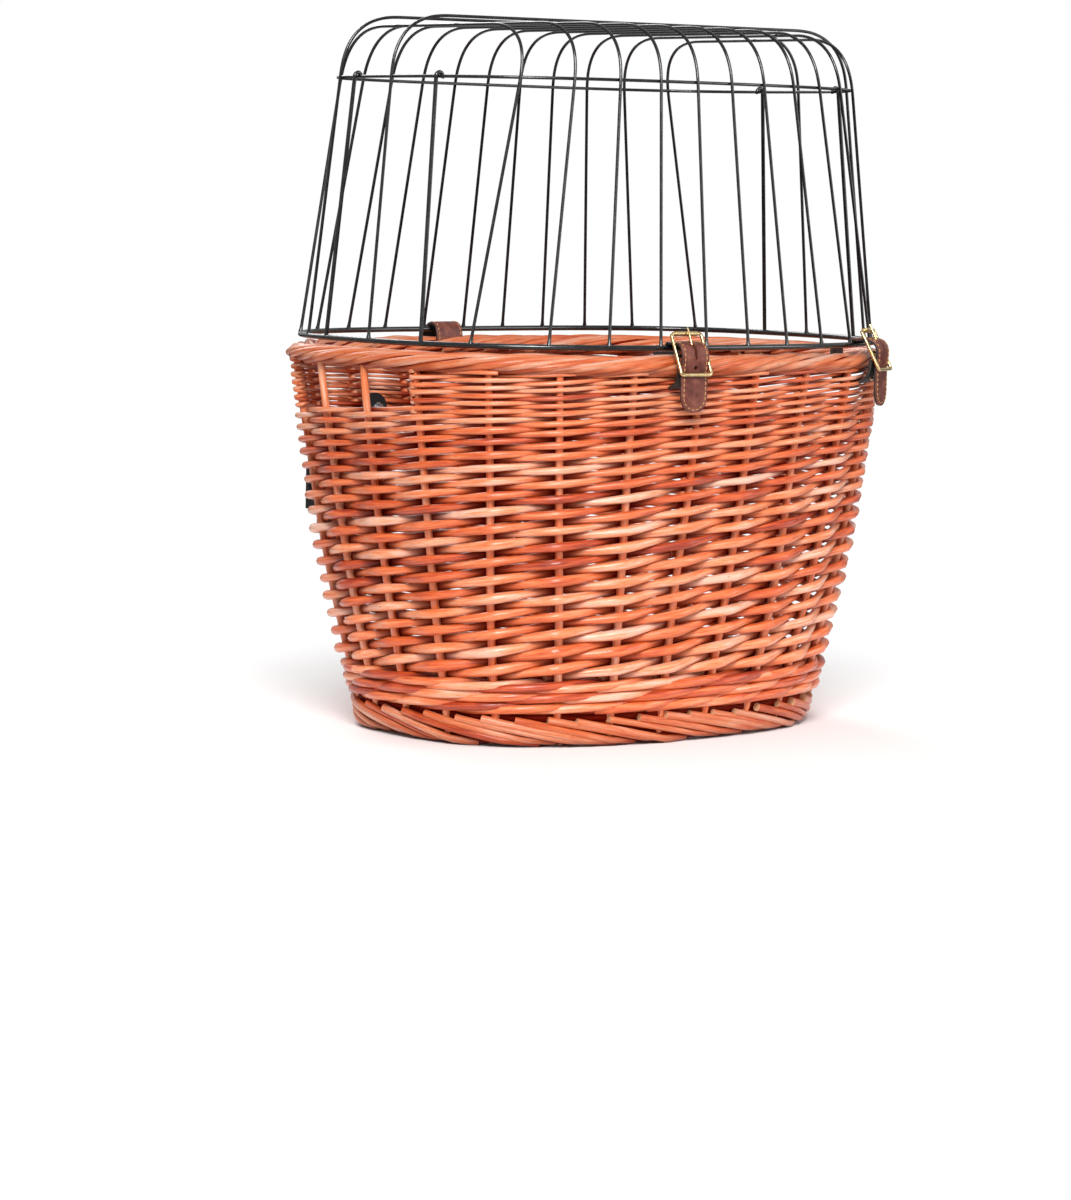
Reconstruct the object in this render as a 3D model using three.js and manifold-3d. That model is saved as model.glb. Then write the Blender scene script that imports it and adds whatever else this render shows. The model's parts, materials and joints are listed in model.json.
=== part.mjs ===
// Wicker pet basket for a bicycle handlebar, with a hinged wire cage.
// Units are millimetres. +Z is up, -Y is the front, and the origin is the centre of the underside.
import * as THREE from 'three';
import { mergeVertices } from 'three/addons/utils/BufferGeometryUtils.js';
import Module from 'manifold-3d';

const wasm = await Module();
wasm.setup();

// ---------------------------------------------------------------- driving dimensions
const GAP = 0.3;
const OVERALL_HEIGHT = 500;
const RIM_WIDTH = 440;
const RIM_DEPTH = 330;
const RIM_HEIGHT = 272;
const FRONT_EXPONENT = 2.4;
const BACK_EXPONENT = 3.2;

const BORDER_HEIGHT = 18;
const BORDER_WIDTH = 24;
const BORDER_BULGE = 5;
const WALL_THICKNESS = 10;
const FOOT_HEIGHT = 25;
const FOOT_WIDTH = 16;
const FOOT_BULGE = 1;
const BASE_THICKNESS = 12;
const TAPER_SLOPE = 0.089;
const TAPER_CURVE = 0.00036;
const PLAN_SEGMENTS = 72;

const STAKE_COUNT = 24;
const STAKE_PHASE = 0.27;
const STAKE_RADIUS = 3.2;
const HAND_HOLE_HEIGHT = 27;
const HAND_HOLE_EDGE = 6;
const HAND_HOLES = { right: { side: -1, firstStake: 10 }, left: { side: 1, firstStake: 22 } };
const BARE_STAKES = 2;

const RING_WIRE = 2.5;
const HOOP_WIRE = 1.5;
const CORNER_WIRE = 1.7;
const RING_INSET_X = 11.3;
const RING_INSET_Y = 9.3;
const RING_LIFT = 4.5;
const UPPER_RING_HEIGHT = 456;
const UPPER_HALF_WIDTH = 193.8;
const UPPER_HALF_DEPTH = 133.5;
const CAGE_BEND = 40;
const DOME_DROP = 3;
const CROSS_HOOPS_EACH_SIDE = 5;
const HOOP_PITCH_LOW = 37.5;
const HOOP_PITCH_HIGH = 32;

const LEATHER = 2.2;
const HINGE_STRAP_WIDTH = 24;
const STRAP_WIDTH = 20;
const ANCHOR_WIDTH = 18;
const STRAP_DROP = 43;
const STRAP_PLAY = 1;
const STRAP_XS = [-59.4, 127];
const ANCHOR_SLOT = [-36.5, -31.5];
const HINGE_NOTCH_LOW = -29;
const BUCKLE_WIRE = 1.25;
const PRONG_WIRE = 0.8;

const PLATE = 3;
const ARM_SPACING = 192;
const ARM_WIDTH = 24;
const ARM_LOW = 93;
const ARM_HIGH = 236;
const CROSSBAR_HEIGHT = 30;
const BRACKET_Y = 163;
const BAR_RADIUS = 12.7;
const BAR_HEIGHT = 160;
const LINER = 2;
const CLAMP_WALL = 4;
const WALL_BOLT_X = 100;
const INNER_PLATE_RADIUS = 11;

// ---------------------------------------------------------------- worked-out places
const wallTop = RIM_HEIGHT - BORDER_HEIGHT - GAP;
const wallBottom = FOOT_HEIGHT + GAP;
const wallHalfWidth = RIM_WIDTH / 2 - BORDER_BULGE;
const wallHalfDepth = RIM_DEPTH / 2 - BORDER_BULGE;
const ringHeight = RIM_HEIGHT + RING_LIFT;
const ringSize = [RIM_WIDTH / 2 - RING_INSET_X, RIM_DEPTH / 2 - RING_INSET_Y];
const upperSize = [UPPER_HALF_WIDTH, UPPER_HALF_DEPTH];
const upperRingInset = 2 * HOOP_WIRE + GAP;
const legFoot = ringHeight + RING_WIRE + GAP;

// ---------------------------------------------------------------- materials
const finish = (color, roughness, metalness = 0) =>
  new THREE.MeshStandardMaterial({ color, roughness, metalness });
const wicker = finish(0xc46a32, 0.55);
const stakeWood = finish(0xb55a2a, 0.6);
const blackWire = finish(0x1c1c1e, 0.35, 0.4);
const brownLeather = finish(0x5a2a1c, 0.5);
const darkLeather = finish(0x2b2625, 0.7);
const brass = finish(0xd8b365, 0.25, 1);
const blackSteel = finish(0x151516, 0.45, 0.6);
const rubber = finish(0x222222, 0.9);
const zincSteel = finish(0x8f9296, 0.35, 1);

// ---------------------------------------------------------------- plan outline
// The plan is a rounded D: a superellipse that is squarer at the back than at the front.
class PlanCurve extends THREE.Curve {
  constructor(halfWidth, halfDepth) {
    super();
    this.size = [halfWidth, halfDepth];
    this.arcLengthDivisions = 720;
  }

  getPoint(t, target = new THREE.Vector3()) {
    const angle = t * 2 * Math.PI;
    const c = Math.cos(angle);
    const s = Math.sin(angle);
    const power = 2 / (s > 0 ? BACK_EXPONENT : FRONT_EXPONENT);
    const x = Math.sign(c) * Math.abs(c) ** power * this.size[0];
    const y = Math.sign(s) * Math.abs(s) ** power * this.size[1];
    return target.set(x, y, 0);
  }
}

function planLoop(halfWidth, halfDepth, count) {
  return new PlanCurve(halfWidth, halfDepth).getSpacedPoints(count).slice(0, count);
}

// Where the outline of the given size crosses a line of constant x, at the front or the back.
function planY(x, [halfWidth, halfDepth], side) {
  const n = side > 0 ? BACK_EXPONENT : FRONT_EXPONENT;
  return side * halfDepth * (1 - Math.abs(x / halfWidth) ** n) ** (1 / n);
}

// Where the outline crosses a line of constant y, at the left or the right.
function planX(y, [halfWidth, halfDepth], side) {
  const n = y > 0 ? BACK_EXPONENT : FRONT_EXPONENT;
  return side * halfWidth * (1 - Math.abs(y / halfDepth) ** n) ** (1 / n);
}

// The direction, as an angle about +Z, in which the outline faces at a front point.
function frontFacing(x, [halfWidth, halfDepth]) {
  const y = planY(x, [halfWidth, halfDepth], -1);
  const n = FRONT_EXPONENT;
  const nx = Math.sign(x) * Math.abs(x) ** (n - 1) / halfWidth ** n;
  const ny = -(Math.abs(y) ** (n - 1)) / halfDepth ** n;
  return Math.atan2(ny, nx) + Math.PI / 2;
}

// How far the wall has drawn in below its top edge at height z.
function taper(z) {
  const drop = wallTop - z;
  return TAPER_SLOPE * drop + TAPER_CURVE * drop * drop;
}

function wallSize(z, inset) {
  const drawn = taper(z) + inset;
  return [wallHalfWidth - drawn, wallHalfDepth - drawn];
}

// The place of one of the evenly spaced upright stakes, in the middle of the wall at height z.
function stakePoint(number, z) {
  const [w, d] = wallSize(z, WALL_THICKNESS / 2);
  const along = ((number + STAKE_PHASE) / STAKE_COUNT) % 1;
  return new PlanCurve(w, d).getPointAt(along).setZ(z);
}

// ---------------------------------------------------------------- solid helpers
// A closed band around the plan. Its section lists [halfWidth, halfDepth, z] anticlockwise
// as seen with the outside of the basket to the right.
function bandGeometry(section, count = PLAN_SEGMENTS) {
  const loops = section.map(([w, d, z]) => planLoop(w, d, count).map((p) => [p.x, p.y, z]));
  const positions = loops.flat(2);
  const index = [];
  const rows = section.length;
  for (let j = 0; j < rows; j += 1) {
    for (let i = 0; i < count; i += 1) {
      const a = j * count + i;
      const b = j * count + (i + 1) % count;
      const c = ((j + 1) % rows) * count + (i + 1) % count;
      const d = ((j + 1) % rows) * count + i;
      index.push(a, b, c, a, c, d);
    }
  }
  const geometry = new THREE.BufferGeometry();
  geometry.setAttribute('position', new THREE.Float32BufferAttribute(positions, 3));
  geometry.setIndex(index);
  return geometry;
}

function toSolid(geometry) {
  const bare = geometry.clone();
  bare.deleteAttribute('normal');
  bare.deleteAttribute('uv');
  const merged = mergeVertices(bare, 1e-4);
  return new wasm.Manifold(new wasm.Mesh({
    numProp: 3,
    vertProperties: new Float32Array(merged.attributes.position.array),
    triVerts: new Uint32Array(merged.index.array),
  }));
}

function toGeometry(solid) {
  const { vertProperties, triVerts } = solid.getMesh();
  const geometry = new THREE.BufferGeometry();
  geometry.setAttribute('position', new THREE.BufferAttribute(vertProperties, 3));
  geometry.setIndex(new THREE.BufferAttribute(triVerts, 1));
  return geometry;
}

function cutAll(geometry, cutters) {
  return toGeometry(cutters.reduce((body, cutter) => body.subtract(toSolid(cutter)), toSolid(geometry)));
}

function joinAll(geometries) {
  return toGeometry(geometries.map(toSolid).reduce((body, piece) => body.add(piece)));
}

function boxAt([x0, y0, z0], [x1, y1, z1]) {
  return new THREE.BoxGeometry(x1 - x0, y1 - y0, z1 - z0)
    .translate((x0 + x1) / 2, (y0 + y1) / 2, (z0 + z1) / 2);
}

// A round bar between two points.
function barGeometry(from, to, radius, sides = 8) {
  const axis = new THREE.Vector3().subVectors(to, from);
  const turn = new THREE.Quaternion().setFromUnitVectors(
    new THREE.Vector3(0, 1, 0), axis.clone().normalize());
  return new THREE.CylinderGeometry(radius, radius, axis.length(), sides)
    .applyQuaternion(turn)
    .translate((from.x + to.x) / 2, (from.y + to.y) / 2, (from.z + to.z) / 2);
}

// A path that is sampled exactly at its own points, so bends get points and straights don't.
class WirePath extends THREE.Curve {
  constructor(points) {
    super();
    this.points = points;
  }

  getPoint(t, target = new THREE.Vector3()) {
    const place = Math.min(Math.max(t, 0), 1) * (this.points.length - 1);
    const i = Math.min(Math.floor(place), this.points.length - 2);
    return target.lerpVectors(this.points[i], this.points[i + 1], place - i);
  }

  getUtoTmapping(u) {
    return u;
  }
}

function circleShape(radius, sides) {
  const corners = Array.from({ length: sides }, (_, i) => {
    const angle = (2 * Math.PI * i) / sides;
    return new THREE.Vector2(radius * Math.cos(angle), radius * Math.sin(angle));
  });
  return new THREE.Shape(corners);
}

function wireGeometry(points, radius, sides = 6) {
  return new THREE.ExtrudeGeometry(circleShape(radius, sides), {
    steps: points.length - 1,
    extrudePath: new WirePath(points),
  });
}

// Corners joined by straights, each inner corner rounded over the given length.
function roundedPath(corners, roundLength, steps = 5) {
  const path = [corners[0]];
  for (let i = 1; i < corners.length - 1; i += 1) {
    const corner = corners[i];
    const back = new THREE.Vector3().subVectors(corners[i - 1], corner).setLength(roundLength);
    const ahead = new THREE.Vector3().subVectors(corners[i + 1], corner).setLength(roundLength);
    const bend = new THREE.QuadraticBezierCurve3(
      back.add(corner), corner, ahead.add(corner));
    path.push(...bend.getPoints(steps));
  }
  path.push(corners[corners.length - 1]);
  return path;
}

// A strip of even thickness along a 2D line, as a closed outline.
function stripOutline(line, thickness) {
  const offset = (sign) => line.map((point, i) => {
    const before = line[Math.max(i - 1, 0)];
    const after = line[Math.min(i + 1, line.length - 1)];
    const d1 = new THREE.Vector2().subVectors(point, before);
    const d2 = new THREE.Vector2().subVectors(after, point);
    const t1 = (d1.lengthSq() ? d1 : d2).clone().normalize();
    const t2 = (d2.lengthSq() ? d2 : d1).clone().normalize();
    const mean = t1.clone().add(t2).normalize();
    const reach = (sign * thickness) / 2 / Math.max(mean.dot(t1), 0.5);
    return new THREE.Vector2(point.x - mean.y * reach, point.y + mean.x * reach);
  });
  return [...offset(1), ...offset(-1).reverse()];
}

// Extrudes an outline drawn in the Y-Z plane across X, centred on x = 0.
function extrudeAcross(outline, width, holes = []) {
  const shape = new THREE.Shape(outline);
  shape.holes = holes.map((hole) => new THREE.Path(hole));
  const turn = new THREE.Matrix4().makeBasis(
    new THREE.Vector3(0, 1, 0), new THREE.Vector3(0, 0, 1), new THREE.Vector3(1, 0, 0));
  return new THREE.ExtrudeGeometry(shape, { depth: width, bevelEnabled: false })
    .translate(0, 0, -width / 2)
    .applyMatrix4(turn);
}

const v2 = (x, y) => new THREE.Vector2(x, y);
const v3 = (x, y, z) => new THREE.Vector3(x, y, z);

const part = new THREE.Group();

function addPiece(name, geometry, material, parent = part) {
  const piece = new THREE.Mesh(geometry, material);
  piece.name = name;
  parent.add(piece);
  return piece;
}

// ---------------------------------------------------------------- wicker body
const hingeX = -0.5 * HOOP_PITCH_LOW;

// The rounded eight-sided section of a woven border, flat underneath.
function borderSection(zLow, zHigh, outSize, width) {
  const [w, d] = outSize;
  const height = zHigh - zLow;
  const corners = [
    [0.3, 0], [0.06, 0.22], [0, 0.5], [0.08, 0.82], [0.35, 1],
    [0.65, 1], [0.94, 0.8], [1, 0.5], [0.94, 0.2], [0.7, 0],
  ];
  return corners.map(([across, up]) => {
    const inset = across * width;
    return [w - inset, d - inset, zLow + up * height];
  });
}

function addRimBorder() {
  const section = borderSection(
    RIM_HEIGHT - BORDER_HEIGHT, RIM_HEIGHT, [RIM_WIDTH / 2, RIM_DEPTH / 2], BORDER_WIDTH);
  addPiece('rim_border', bandGeometry(section), wicker);
}

function addFootBorder() {
  const [w, d] = wallSize(FOOT_HEIGHT / 2, -FOOT_BULGE);
  addPiece('foot_border', bandGeometry(borderSection(0, FOOT_HEIGHT, [w, d], FOOT_WIDTH)), wicker);
}

function addBase() {
  const [w, d] = wallSize(FOOT_HEIGHT / 2, FOOT_WIDTH - FOOT_BULGE + GAP);
  const shape = new THREE.Shape(planLoop(w, d, PLAN_SEGMENTS).map((p) => v2(p.x, p.y)));
  const slab = new THREE.ExtrudeGeometry(shape, { depth: BASE_THICKNESS, bevelEnabled: false });
  addPiece('wicker_base', slab, wicker);
}

// Slots and notches where the leather and the bolts pass through the wall.
function wallCutters() {
  const cutters = [];
  const handLow = wallTop - HAND_HOLE_HEIGHT;
  for (const { side, firstStake } of Object.values(HAND_HOLES)) {
    const near = side * (wallHalfWidth - 60);
    const far = side * (wallHalfWidth + 10);
    const ends = [firstStake, firstStake + BARE_STAKES + 1].map((n) => stakePoint(n, handLow).y);
    cutters.push(boxAt(
      [Math.min(near, far), Math.min(...ends) + HAND_HOLE_EDGE, handLow],
      [Math.max(near, far), Math.max(...ends) - HAND_HOLE_EDGE, wallTop + 5]));
    cutters.push(boltHole(side * WALL_BOLT_X));
  }
  for (const x of STRAP_XS) {
    const slot = boxAt(
      [-ANCHOR_WIDTH / 2 - 1, -30, ANCHOR_SLOT[0]], [ANCHOR_WIDTH / 2 + 1, 30, ANCHOR_SLOT[1]]);
    const y = planY(x, ringSize, -1);
    cutters.push(slot.rotateZ(frontFacing(x, ringSize)).translate(x, y, ringHeight));
  }
  const hingeY = planY(hingeX, ringSize, 1);
  cutters.push(boxAt(
    [hingeX - HINGE_STRAP_WIDTH / 2 - 1, hingeY - 30, ringHeight + HINGE_NOTCH_LOW],
    [hingeX + HINGE_STRAP_WIDTH / 2 + 1, hingeY + 30, wallTop + 5]));
  return cutters;
}

function addWall() {
  const levels = [wallBottom, 80, 140, 200, wallTop];
  const outside = levels.map((z) => [...wallSize(z, 0), z]);
  const inside = levels.map((z) => [...wallSize(z, WALL_THICKNESS), z]).reverse();
  addPiece('wicker_wall', cutAll(bandGeometry([...outside, ...inside]), wallCutters()), wicker);
}

// The bare stakes that cross each hand hole.
function addHandHoleStakes() {
  const low = wallTop - HAND_HOLE_HEIGHT + GAP;
  const height = HAND_HOLE_HEIGHT - 2 * GAP;
  for (const [hand, { firstStake }] of Object.entries(HAND_HOLES)) {
    for (let i = 1; i <= BARE_STAKES; i += 1) {
      const rod = new THREE.CylinderGeometry(STAKE_RADIUS, STAKE_RADIUS, height, 10)
        .rotateX(Math.PI / 2);
      const stake = addPiece(`hand_stake_${hand}_${i}`, rod, stakeWood);
      stake.position.copy(stakePoint(firstStake + i, low)).setZ(low + height / 2);
    }
  }
}

// ---------------------------------------------------------------- wire cage
function ringGeometry([w, d], height, radius, inset = 0) {
  const section = Array.from({ length: 6 }, (_, i) => {
    const angle = (i * Math.PI) / 3;
    const reach = radius * Math.cos(angle) - inset;
    return [w + reach, d + reach, height + radius * Math.sin(angle)];
  });
  return bandGeometry(section);
}

// A hoop from one foot over the top to the other, through its two points at the upper ring.
function hoopPoints(footA, highA, highB, footB, topZ) {
  const lift = (foot, high) => {
    const reach = (topZ - foot.z) / (high.z - foot.z);
    return new THREE.Vector3().lerpVectors(foot, high, reach);
  };
  return roundedPath([footA, lift(footA, highA), lift(footB, highB), footB], CAGE_BEND);
}

function addCrossHoops(topZ) {
  for (let k = -CROSS_HOOPS_EACH_SIDE; k <= CROSS_HOOPS_EACH_SIDE; k += 1) {
    const low = k * HOOP_PITCH_LOW;
    const high = k * HOOP_PITCH_HIGH;
    const drop = DOME_DROP * (k / CROSS_HOOPS_EACH_SIDE) ** 4;
    const points = hoopPoints(
      v3(low, planY(low, ringSize, -1), legFoot),
      v3(high, planY(high, upperSize, -1), UPPER_RING_HEIGHT),
      v3(high, planY(high, upperSize, 1), UPPER_RING_HEIGHT),
      v3(low, planY(low, ringSize, 1), legFoot),
      topZ - drop);
    const number = String(k + CROSS_HOOPS_EACH_SIDE + 1).padStart(2, '0');
    addPiece(`cross_hoop_${number}`, wireGeometry(points, HOOP_WIRE), blackWire);
  }
}

// Two hoops run from side to side over the cross hoops, a little askew: [y at right, y at left].
function addLongHoops(topZ) {
  const hoops = { front: [0, -68], back: [78, 6] };
  for (const [name, [yRight, yLeft]] of Object.entries(hoops)) {
    const squeeze = upperSize[1] / ringSize[1];
    const points = hoopPoints(
      v3(planX(yRight, ringSize, -1), yRight, legFoot),
      v3(planX(yRight * squeeze, upperSize, -1), yRight * squeeze, UPPER_RING_HEIGHT),
      v3(planX(yLeft * squeeze, upperSize, 1), yLeft * squeeze, UPPER_RING_HEIGHT),
      v3(planX(yLeft, ringSize, 1), yLeft, legFoot),
      topZ);
    addPiece(`long_hoop_${name}`, wireGeometry(points, HOOP_WIRE), blackWire);
  }
}

// Four shorter wires near the corners hook over the upper ring from outside.
function addCornerWires() {
  const places = { front: -50, back: 50 };
  for (const [hand, side] of [['right', -1], ['left', 1]]) {
    for (const [end, y] of Object.entries(places)) {
      const yHigh = (y * upperSize[1]) / ringSize[1];
      const foot = v3(planX(y, ringSize, side), y, legFoot + 0.2);
      const high = v3(planX(yHigh, upperSize, side), yHigh, UPPER_RING_HEIGHT);
      const centre = high.clone().add(v3(-side * upperRingInset, 0, 0));
      const reach = CORNER_WIRE + HOOP_WIRE + 2 * GAP;
      const hook = Array.from({ length: 6 }, (_, i) => {
        const angle = (i * Math.PI) / 5.5;
        return centre.clone().add(v3(side * reach * Math.cos(angle), 0, reach * Math.sin(angle)));
      });
      const points = [foot, ...hook];
      addPiece(`corner_wire_${end}_${hand}`, wireGeometry(points, CORNER_WIRE), blackWire);
    }
  }
}

function addCage() {
  const topOfLongHoops = OVERALL_HEIGHT - HOOP_WIRE;
  const topOfCrossHoops = topOfLongHoops - 2 * HOOP_WIRE - GAP;
  addPiece('cage_base_ring', ringGeometry(ringSize, ringHeight, RING_WIRE), blackWire);
  const upper = ringGeometry(upperSize, UPPER_RING_HEIGHT, HOOP_WIRE, upperRingInset);
  addPiece('cage_upper_ring', upper, blackWire);
  addCrossHoops(topOfCrossHoops);
  addLongHoops(topOfLongHoops);
  addCornerWires();
}

// ---------------------------------------------------------------- rear hinge strap
// A leather loop round the cage's base ring and the rim border, drawn in the Y-Z plane with
// the ring's centre as its origin and +Y pointing out of the back.
function addHingeStrap() {
  const line = [
    v2(0, 4.4), v2(4.2, 2.8), v2(11.8, -6), v2(11.8, -20), v2(7.5, -26.5),
    v2(-11, -26.5), v2(-17.4, -21), v2(-17.4, -8), v2(-4.2, 2.8),
  ];
  const looped = [line[line.length - 1], ...line, line[0]];
  const strip = stripOutline(looped, LEATHER);
  const outer = strip.slice(1, line.length + 1);
  const inner = strip.slice(looped.length + 1, looped.length + 1 + line.length);
  const loop = addPiece('hinge_strap', extrudeAcross(outer, HINGE_STRAP_WIDTH, [inner]), brownLeather);
  loop.position.set(hingeX, planY(hingeX, ringSize, 1), ringHeight);
}

// ---------------------------------------------------------------- front closure straps
// Each closure is drawn with the ring wire's centre as its origin, -Y out of the basket.
const BUCKLE_CENTRE = v2(-14, -5);
const BUCKLE_TOP = v2(-6, 10);
const BUCKLE_LOW = v2(-20, -17);
const BUCKLE_HALF_WIDTH = 12.2;

function strapTailGeometry() {
  const wrap = RING_WIRE + STRAP_PLAY + LEATHER / 2;
  const overRing = [30, 60, 90, 115].map((degrees) => {
    const angle = THREE.MathUtils.degToRad(degrees);
    return v2(wrap * Math.cos(angle), wrap * Math.sin(angle));
  });
  const hang = [v2(-10, 2.8), v2(-14.2, 1.2), v2(-16.6, -2), v2(-17, -7), v2(-17, -STRAP_DROP)];
  const strap = extrudeAcross(stripOutline([...overRing, ...hang], LEATHER), STRAP_WIDTH);
  const half = STRAP_WIDTH / 2;
  const mask = new THREE.Shape();
  mask.moveTo(-half, 20);
  mask.lineTo(-half, half - STRAP_DROP);
  mask.absarc(0, half - STRAP_DROP, half, Math.PI, 2 * Math.PI);
  mask.lineTo(half, 20);
  const maskBody = new THREE.ExtrudeGeometry(mask, { depth: 60, bevelEnabled: false, curveSegments: 8 })
    .rotateX(Math.PI / 2)
    .translate(0, 30, 0);
  const prongSlot = boxAt([-1.5, -20, -8.8], [1.5, -10.5, 4.6]);
  const spareHole = new THREE.CylinderGeometry(1.3, 1.3, 8, 10).translate(0, -17, -12.5);
  const body = toSolid(strap).intersect(toSolid(maskBody));
  return toGeometry(body.subtract(toSolid(prongSlot)).subtract(toSolid(spareHole)));
}

function buckleFrameGeometry() {
  const corner = (side, place) => v3(side * BUCKLE_HALF_WIDTH, place.x, place.y);
  const pieces = [];
  for (const place of [BUCKLE_TOP, BUCKLE_CENTRE, BUCKLE_LOW]) {
    pieces.push(barGeometry(corner(-1, place), corner(1, place), BUCKLE_WIRE));
  }
  for (const side of [-1, 1]) {
    pieces.push(barGeometry(corner(side, BUCKLE_TOP), corner(side, BUCKLE_LOW), BUCKLE_WIRE));
    for (const place of [BUCKLE_TOP, BUCKLE_LOW]) {
      const knuckle = new THREE.SphereGeometry(BUCKLE_WIRE * 1.08, 8, 6);
      pieces.push(knuckle.translate(...corner(side, place)));
    }
  }
  return joinAll(pieces);
}

// The prong curls round the centre bar, passes through the strap and rests on the top bar.
function prongGeometry() {
  const along = v2(BUCKLE_TOP.x, BUCKLE_TOP.y).sub(BUCKLE_CENTRE);
  const length = along.length();
  along.normalize();
  const out = v2(-along.y, along.x);
  const reach = BUCKLE_WIRE + GAP + PRONG_WIRE;
  const at = (outward, upward) => v3(
    0,
    BUCKLE_CENTRE.x + out.x * outward + along.x * upward,
    BUCKLE_CENTRE.y + out.y * outward + along.y * upward);
  const curl = Array.from({ length: 7 }, (_, i) => {
    const angle = THREE.MathUtils.degToRad(-210 + 35 * i);
    return at(reach * Math.cos(angle), reach * Math.sin(angle));
  });
  return wireGeometry([...curl, at(reach, length + 3)], PRONG_WIRE);
}

// The anchor strap comes up inside the border, through the wall and up again to the buckle.
function anchorStrapGeometry() {
  const line = [
    v2(16.8, -3), v2(16.8, -30), v2(13, -34), v2(-4, -34), v2(-9.5, -31.5),
    v2(-12.6, -25), v2(-12.6, -10.4),
  ];
  const strap = extrudeAcross(stripOutline(line, LEATHER), ANCHOR_WIDTH);
  const rivetHole = new THREE.CylinderGeometry(1.5 + GAP, 1.5 + GAP, 8, 12).translate(0, -12.6, -18);
  return cutAll(strap, [rivetHole]);
}

function rivetGeometry() {
  const face = -12.6 - LEATHER / 2 - GAP;
  const profile = [
    v2(0, 0), v2(1.5, 0), v2(1.5, 2), v2(2.8, 2), v2(2.5, 2.9), v2(0, 3),
  ];
  return new THREE.LatheGeometry(profile, 12)
    .rotateX(Math.PI)
    .translate(0, face + 2, -18);
}

function addClosures() {
  STRAP_XS.forEach((x, i) => {
    const hand = ['right', 'left'][i];
    const group = new THREE.Group();
    group.position.set(x, planY(x, ringSize, -1), ringHeight);
    group.rotation.z = frontFacing(x, ringSize);
    part.add(group);
    addPiece(`strap_tail_${hand}`, strapTailGeometry(), brownLeather, group);
    addPiece(`buckle_frame_${hand}`, buckleFrameGeometry(), brass, group);
    addPiece(`buckle_prong_${hand}`, prongGeometry(), brass, group);
    addPiece(`anchor_strap_${hand}`, anchorStrapGeometry(), darkLeather, group);
    addPiece(`anchor_rivet_${hand}`, rivetGeometry(), brass, group);
  });
}

// ---------------------------------------------------------------- handlebar bracket
const saddleRadius = BAR_RADIUS + LINER + GAP;
const barY = BRACKET_Y + PLATE + saddleRadius + CLAMP_WALL - 1;
const earBoltZ = saddleRadius + CLAMP_WALL + 5;

function boltHole(x) {
  return new THREE.CylinderGeometry(2.5 + GAP, 2.5 + GAP, 60, 12)
    .translate(x, wallHalfDepth, ARM_HIGH - CROSSBAR_HEIGHT / 2);
}

// A vertical strip with rounded ends, as a plate facing +Y.
function armPlate(x) {
  const half = ARM_WIDTH / 2;
  const shape = new THREE.Shape();
  shape.absarc(0, ARM_LOW + half, half, Math.PI, 2 * Math.PI);
  shape.absarc(0, ARM_HIGH - half, half, 0, Math.PI);
  return new THREE.ExtrudeGeometry(shape, { depth: PLATE, bevelEnabled: false, curveSegments: 8 })
    .rotateX(Math.PI / 2)
    .translate(x, BRACKET_Y + PLATE, 0);
}

// Half of a round clamp about the handlebar: side -1 is the saddle, side 1 the cap.
function clampHalf(x, side) {
  const outer = saddleRadius + CLAMP_WALL;
  const reach = earBoltZ + 6;
  const low = Math.min(0, side * outer);
  const face = side * (GAP + 0.2);
  const block = boxAt([x - ARM_WIDTH / 2, side > 0 ? face : low, -outer + 2],
    [x + ARM_WIDTH / 2, side > 0 ? outer : face, outer - 2]);
  const earDepth = side > 0 ? [face, 5] : [-outer, face];
  const ears = boxAt([x - ARM_WIDTH / 2, earDepth[0], -reach], [x + ARM_WIDTH / 2, earDepth[1], reach]);
  const bore = new THREE.CylinderGeometry(saddleRadius, saddleRadius, ARM_WIDTH + 2, 32)
    .rotateZ(Math.PI / 2)
    .translate(x, 0, 0);
  const holes = [-1, 1].map((end) =>
    new THREE.CylinderGeometry(2.5 + GAP, 2.5 + GAP, 90, 12).translate(x, 0, end * earBoltZ));
  const solid = toSolid(block).add(toSolid(ears)).subtract(toSolid(bore));
  return holes.reduce((body, hole) => body.subtract(toSolid(hole)), solid);
}

function placedClampHalf(x, side) {
  return toGeometry(clampHalf(x, side)).translate(0, barY, BAR_HEIGHT);
}

function addBracketFrame() {
  const crossbar = boxAt(
    [-ARM_SPACING / 2, BRACKET_Y, ARM_HIGH - CROSSBAR_HEIGHT],
    [ARM_SPACING / 2, BRACKET_Y + PLATE, ARM_HIGH]);
  const pieces = [crossbar];
  const holes = [];
  for (const side of [-1, 1]) {
    const x = (side * ARM_SPACING) / 2;
    pieces.push(armPlate(x), placedClampHalf(x, -1));
    holes.push(boltHole(side * WALL_BOLT_X));
    for (const end of [-1, 1]) {
      holes.push(new THREE.CylinderGeometry(2.5 + GAP, 2.5 + GAP, 90, 12)
        .translate(x, barY, BAR_HEIGHT + end * earBoltZ));
    }
  }
  addPiece('bracket_frame', cutAll(joinAll(pieces), holes), blackSteel);
}

// A round-headed bolt along +Y with its head at the far end.
function boltGeometry(length, headRadius = 4.6, headHeight = 3) {
  const profile = [
    v2(0, 0), v2(2.5, 0), v2(2.5, length), v2(headRadius, length),
    v2(headRadius, length + headHeight * 0.6), v2(headRadius * 0.6, length + headHeight),
    v2(0, length + headHeight),
  ];
  return new THREE.LatheGeometry(profile, 14);
}

function nutGeometry() {
  const hexagon = new THREE.CylinderGeometry(4.6, 4.6, 4, 6);
  const bore = new THREE.CylinderGeometry(2.5 + GAP, 2.5 + GAP, 6, 12);
  return cutAll(hexagon, [bore]);
}

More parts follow.
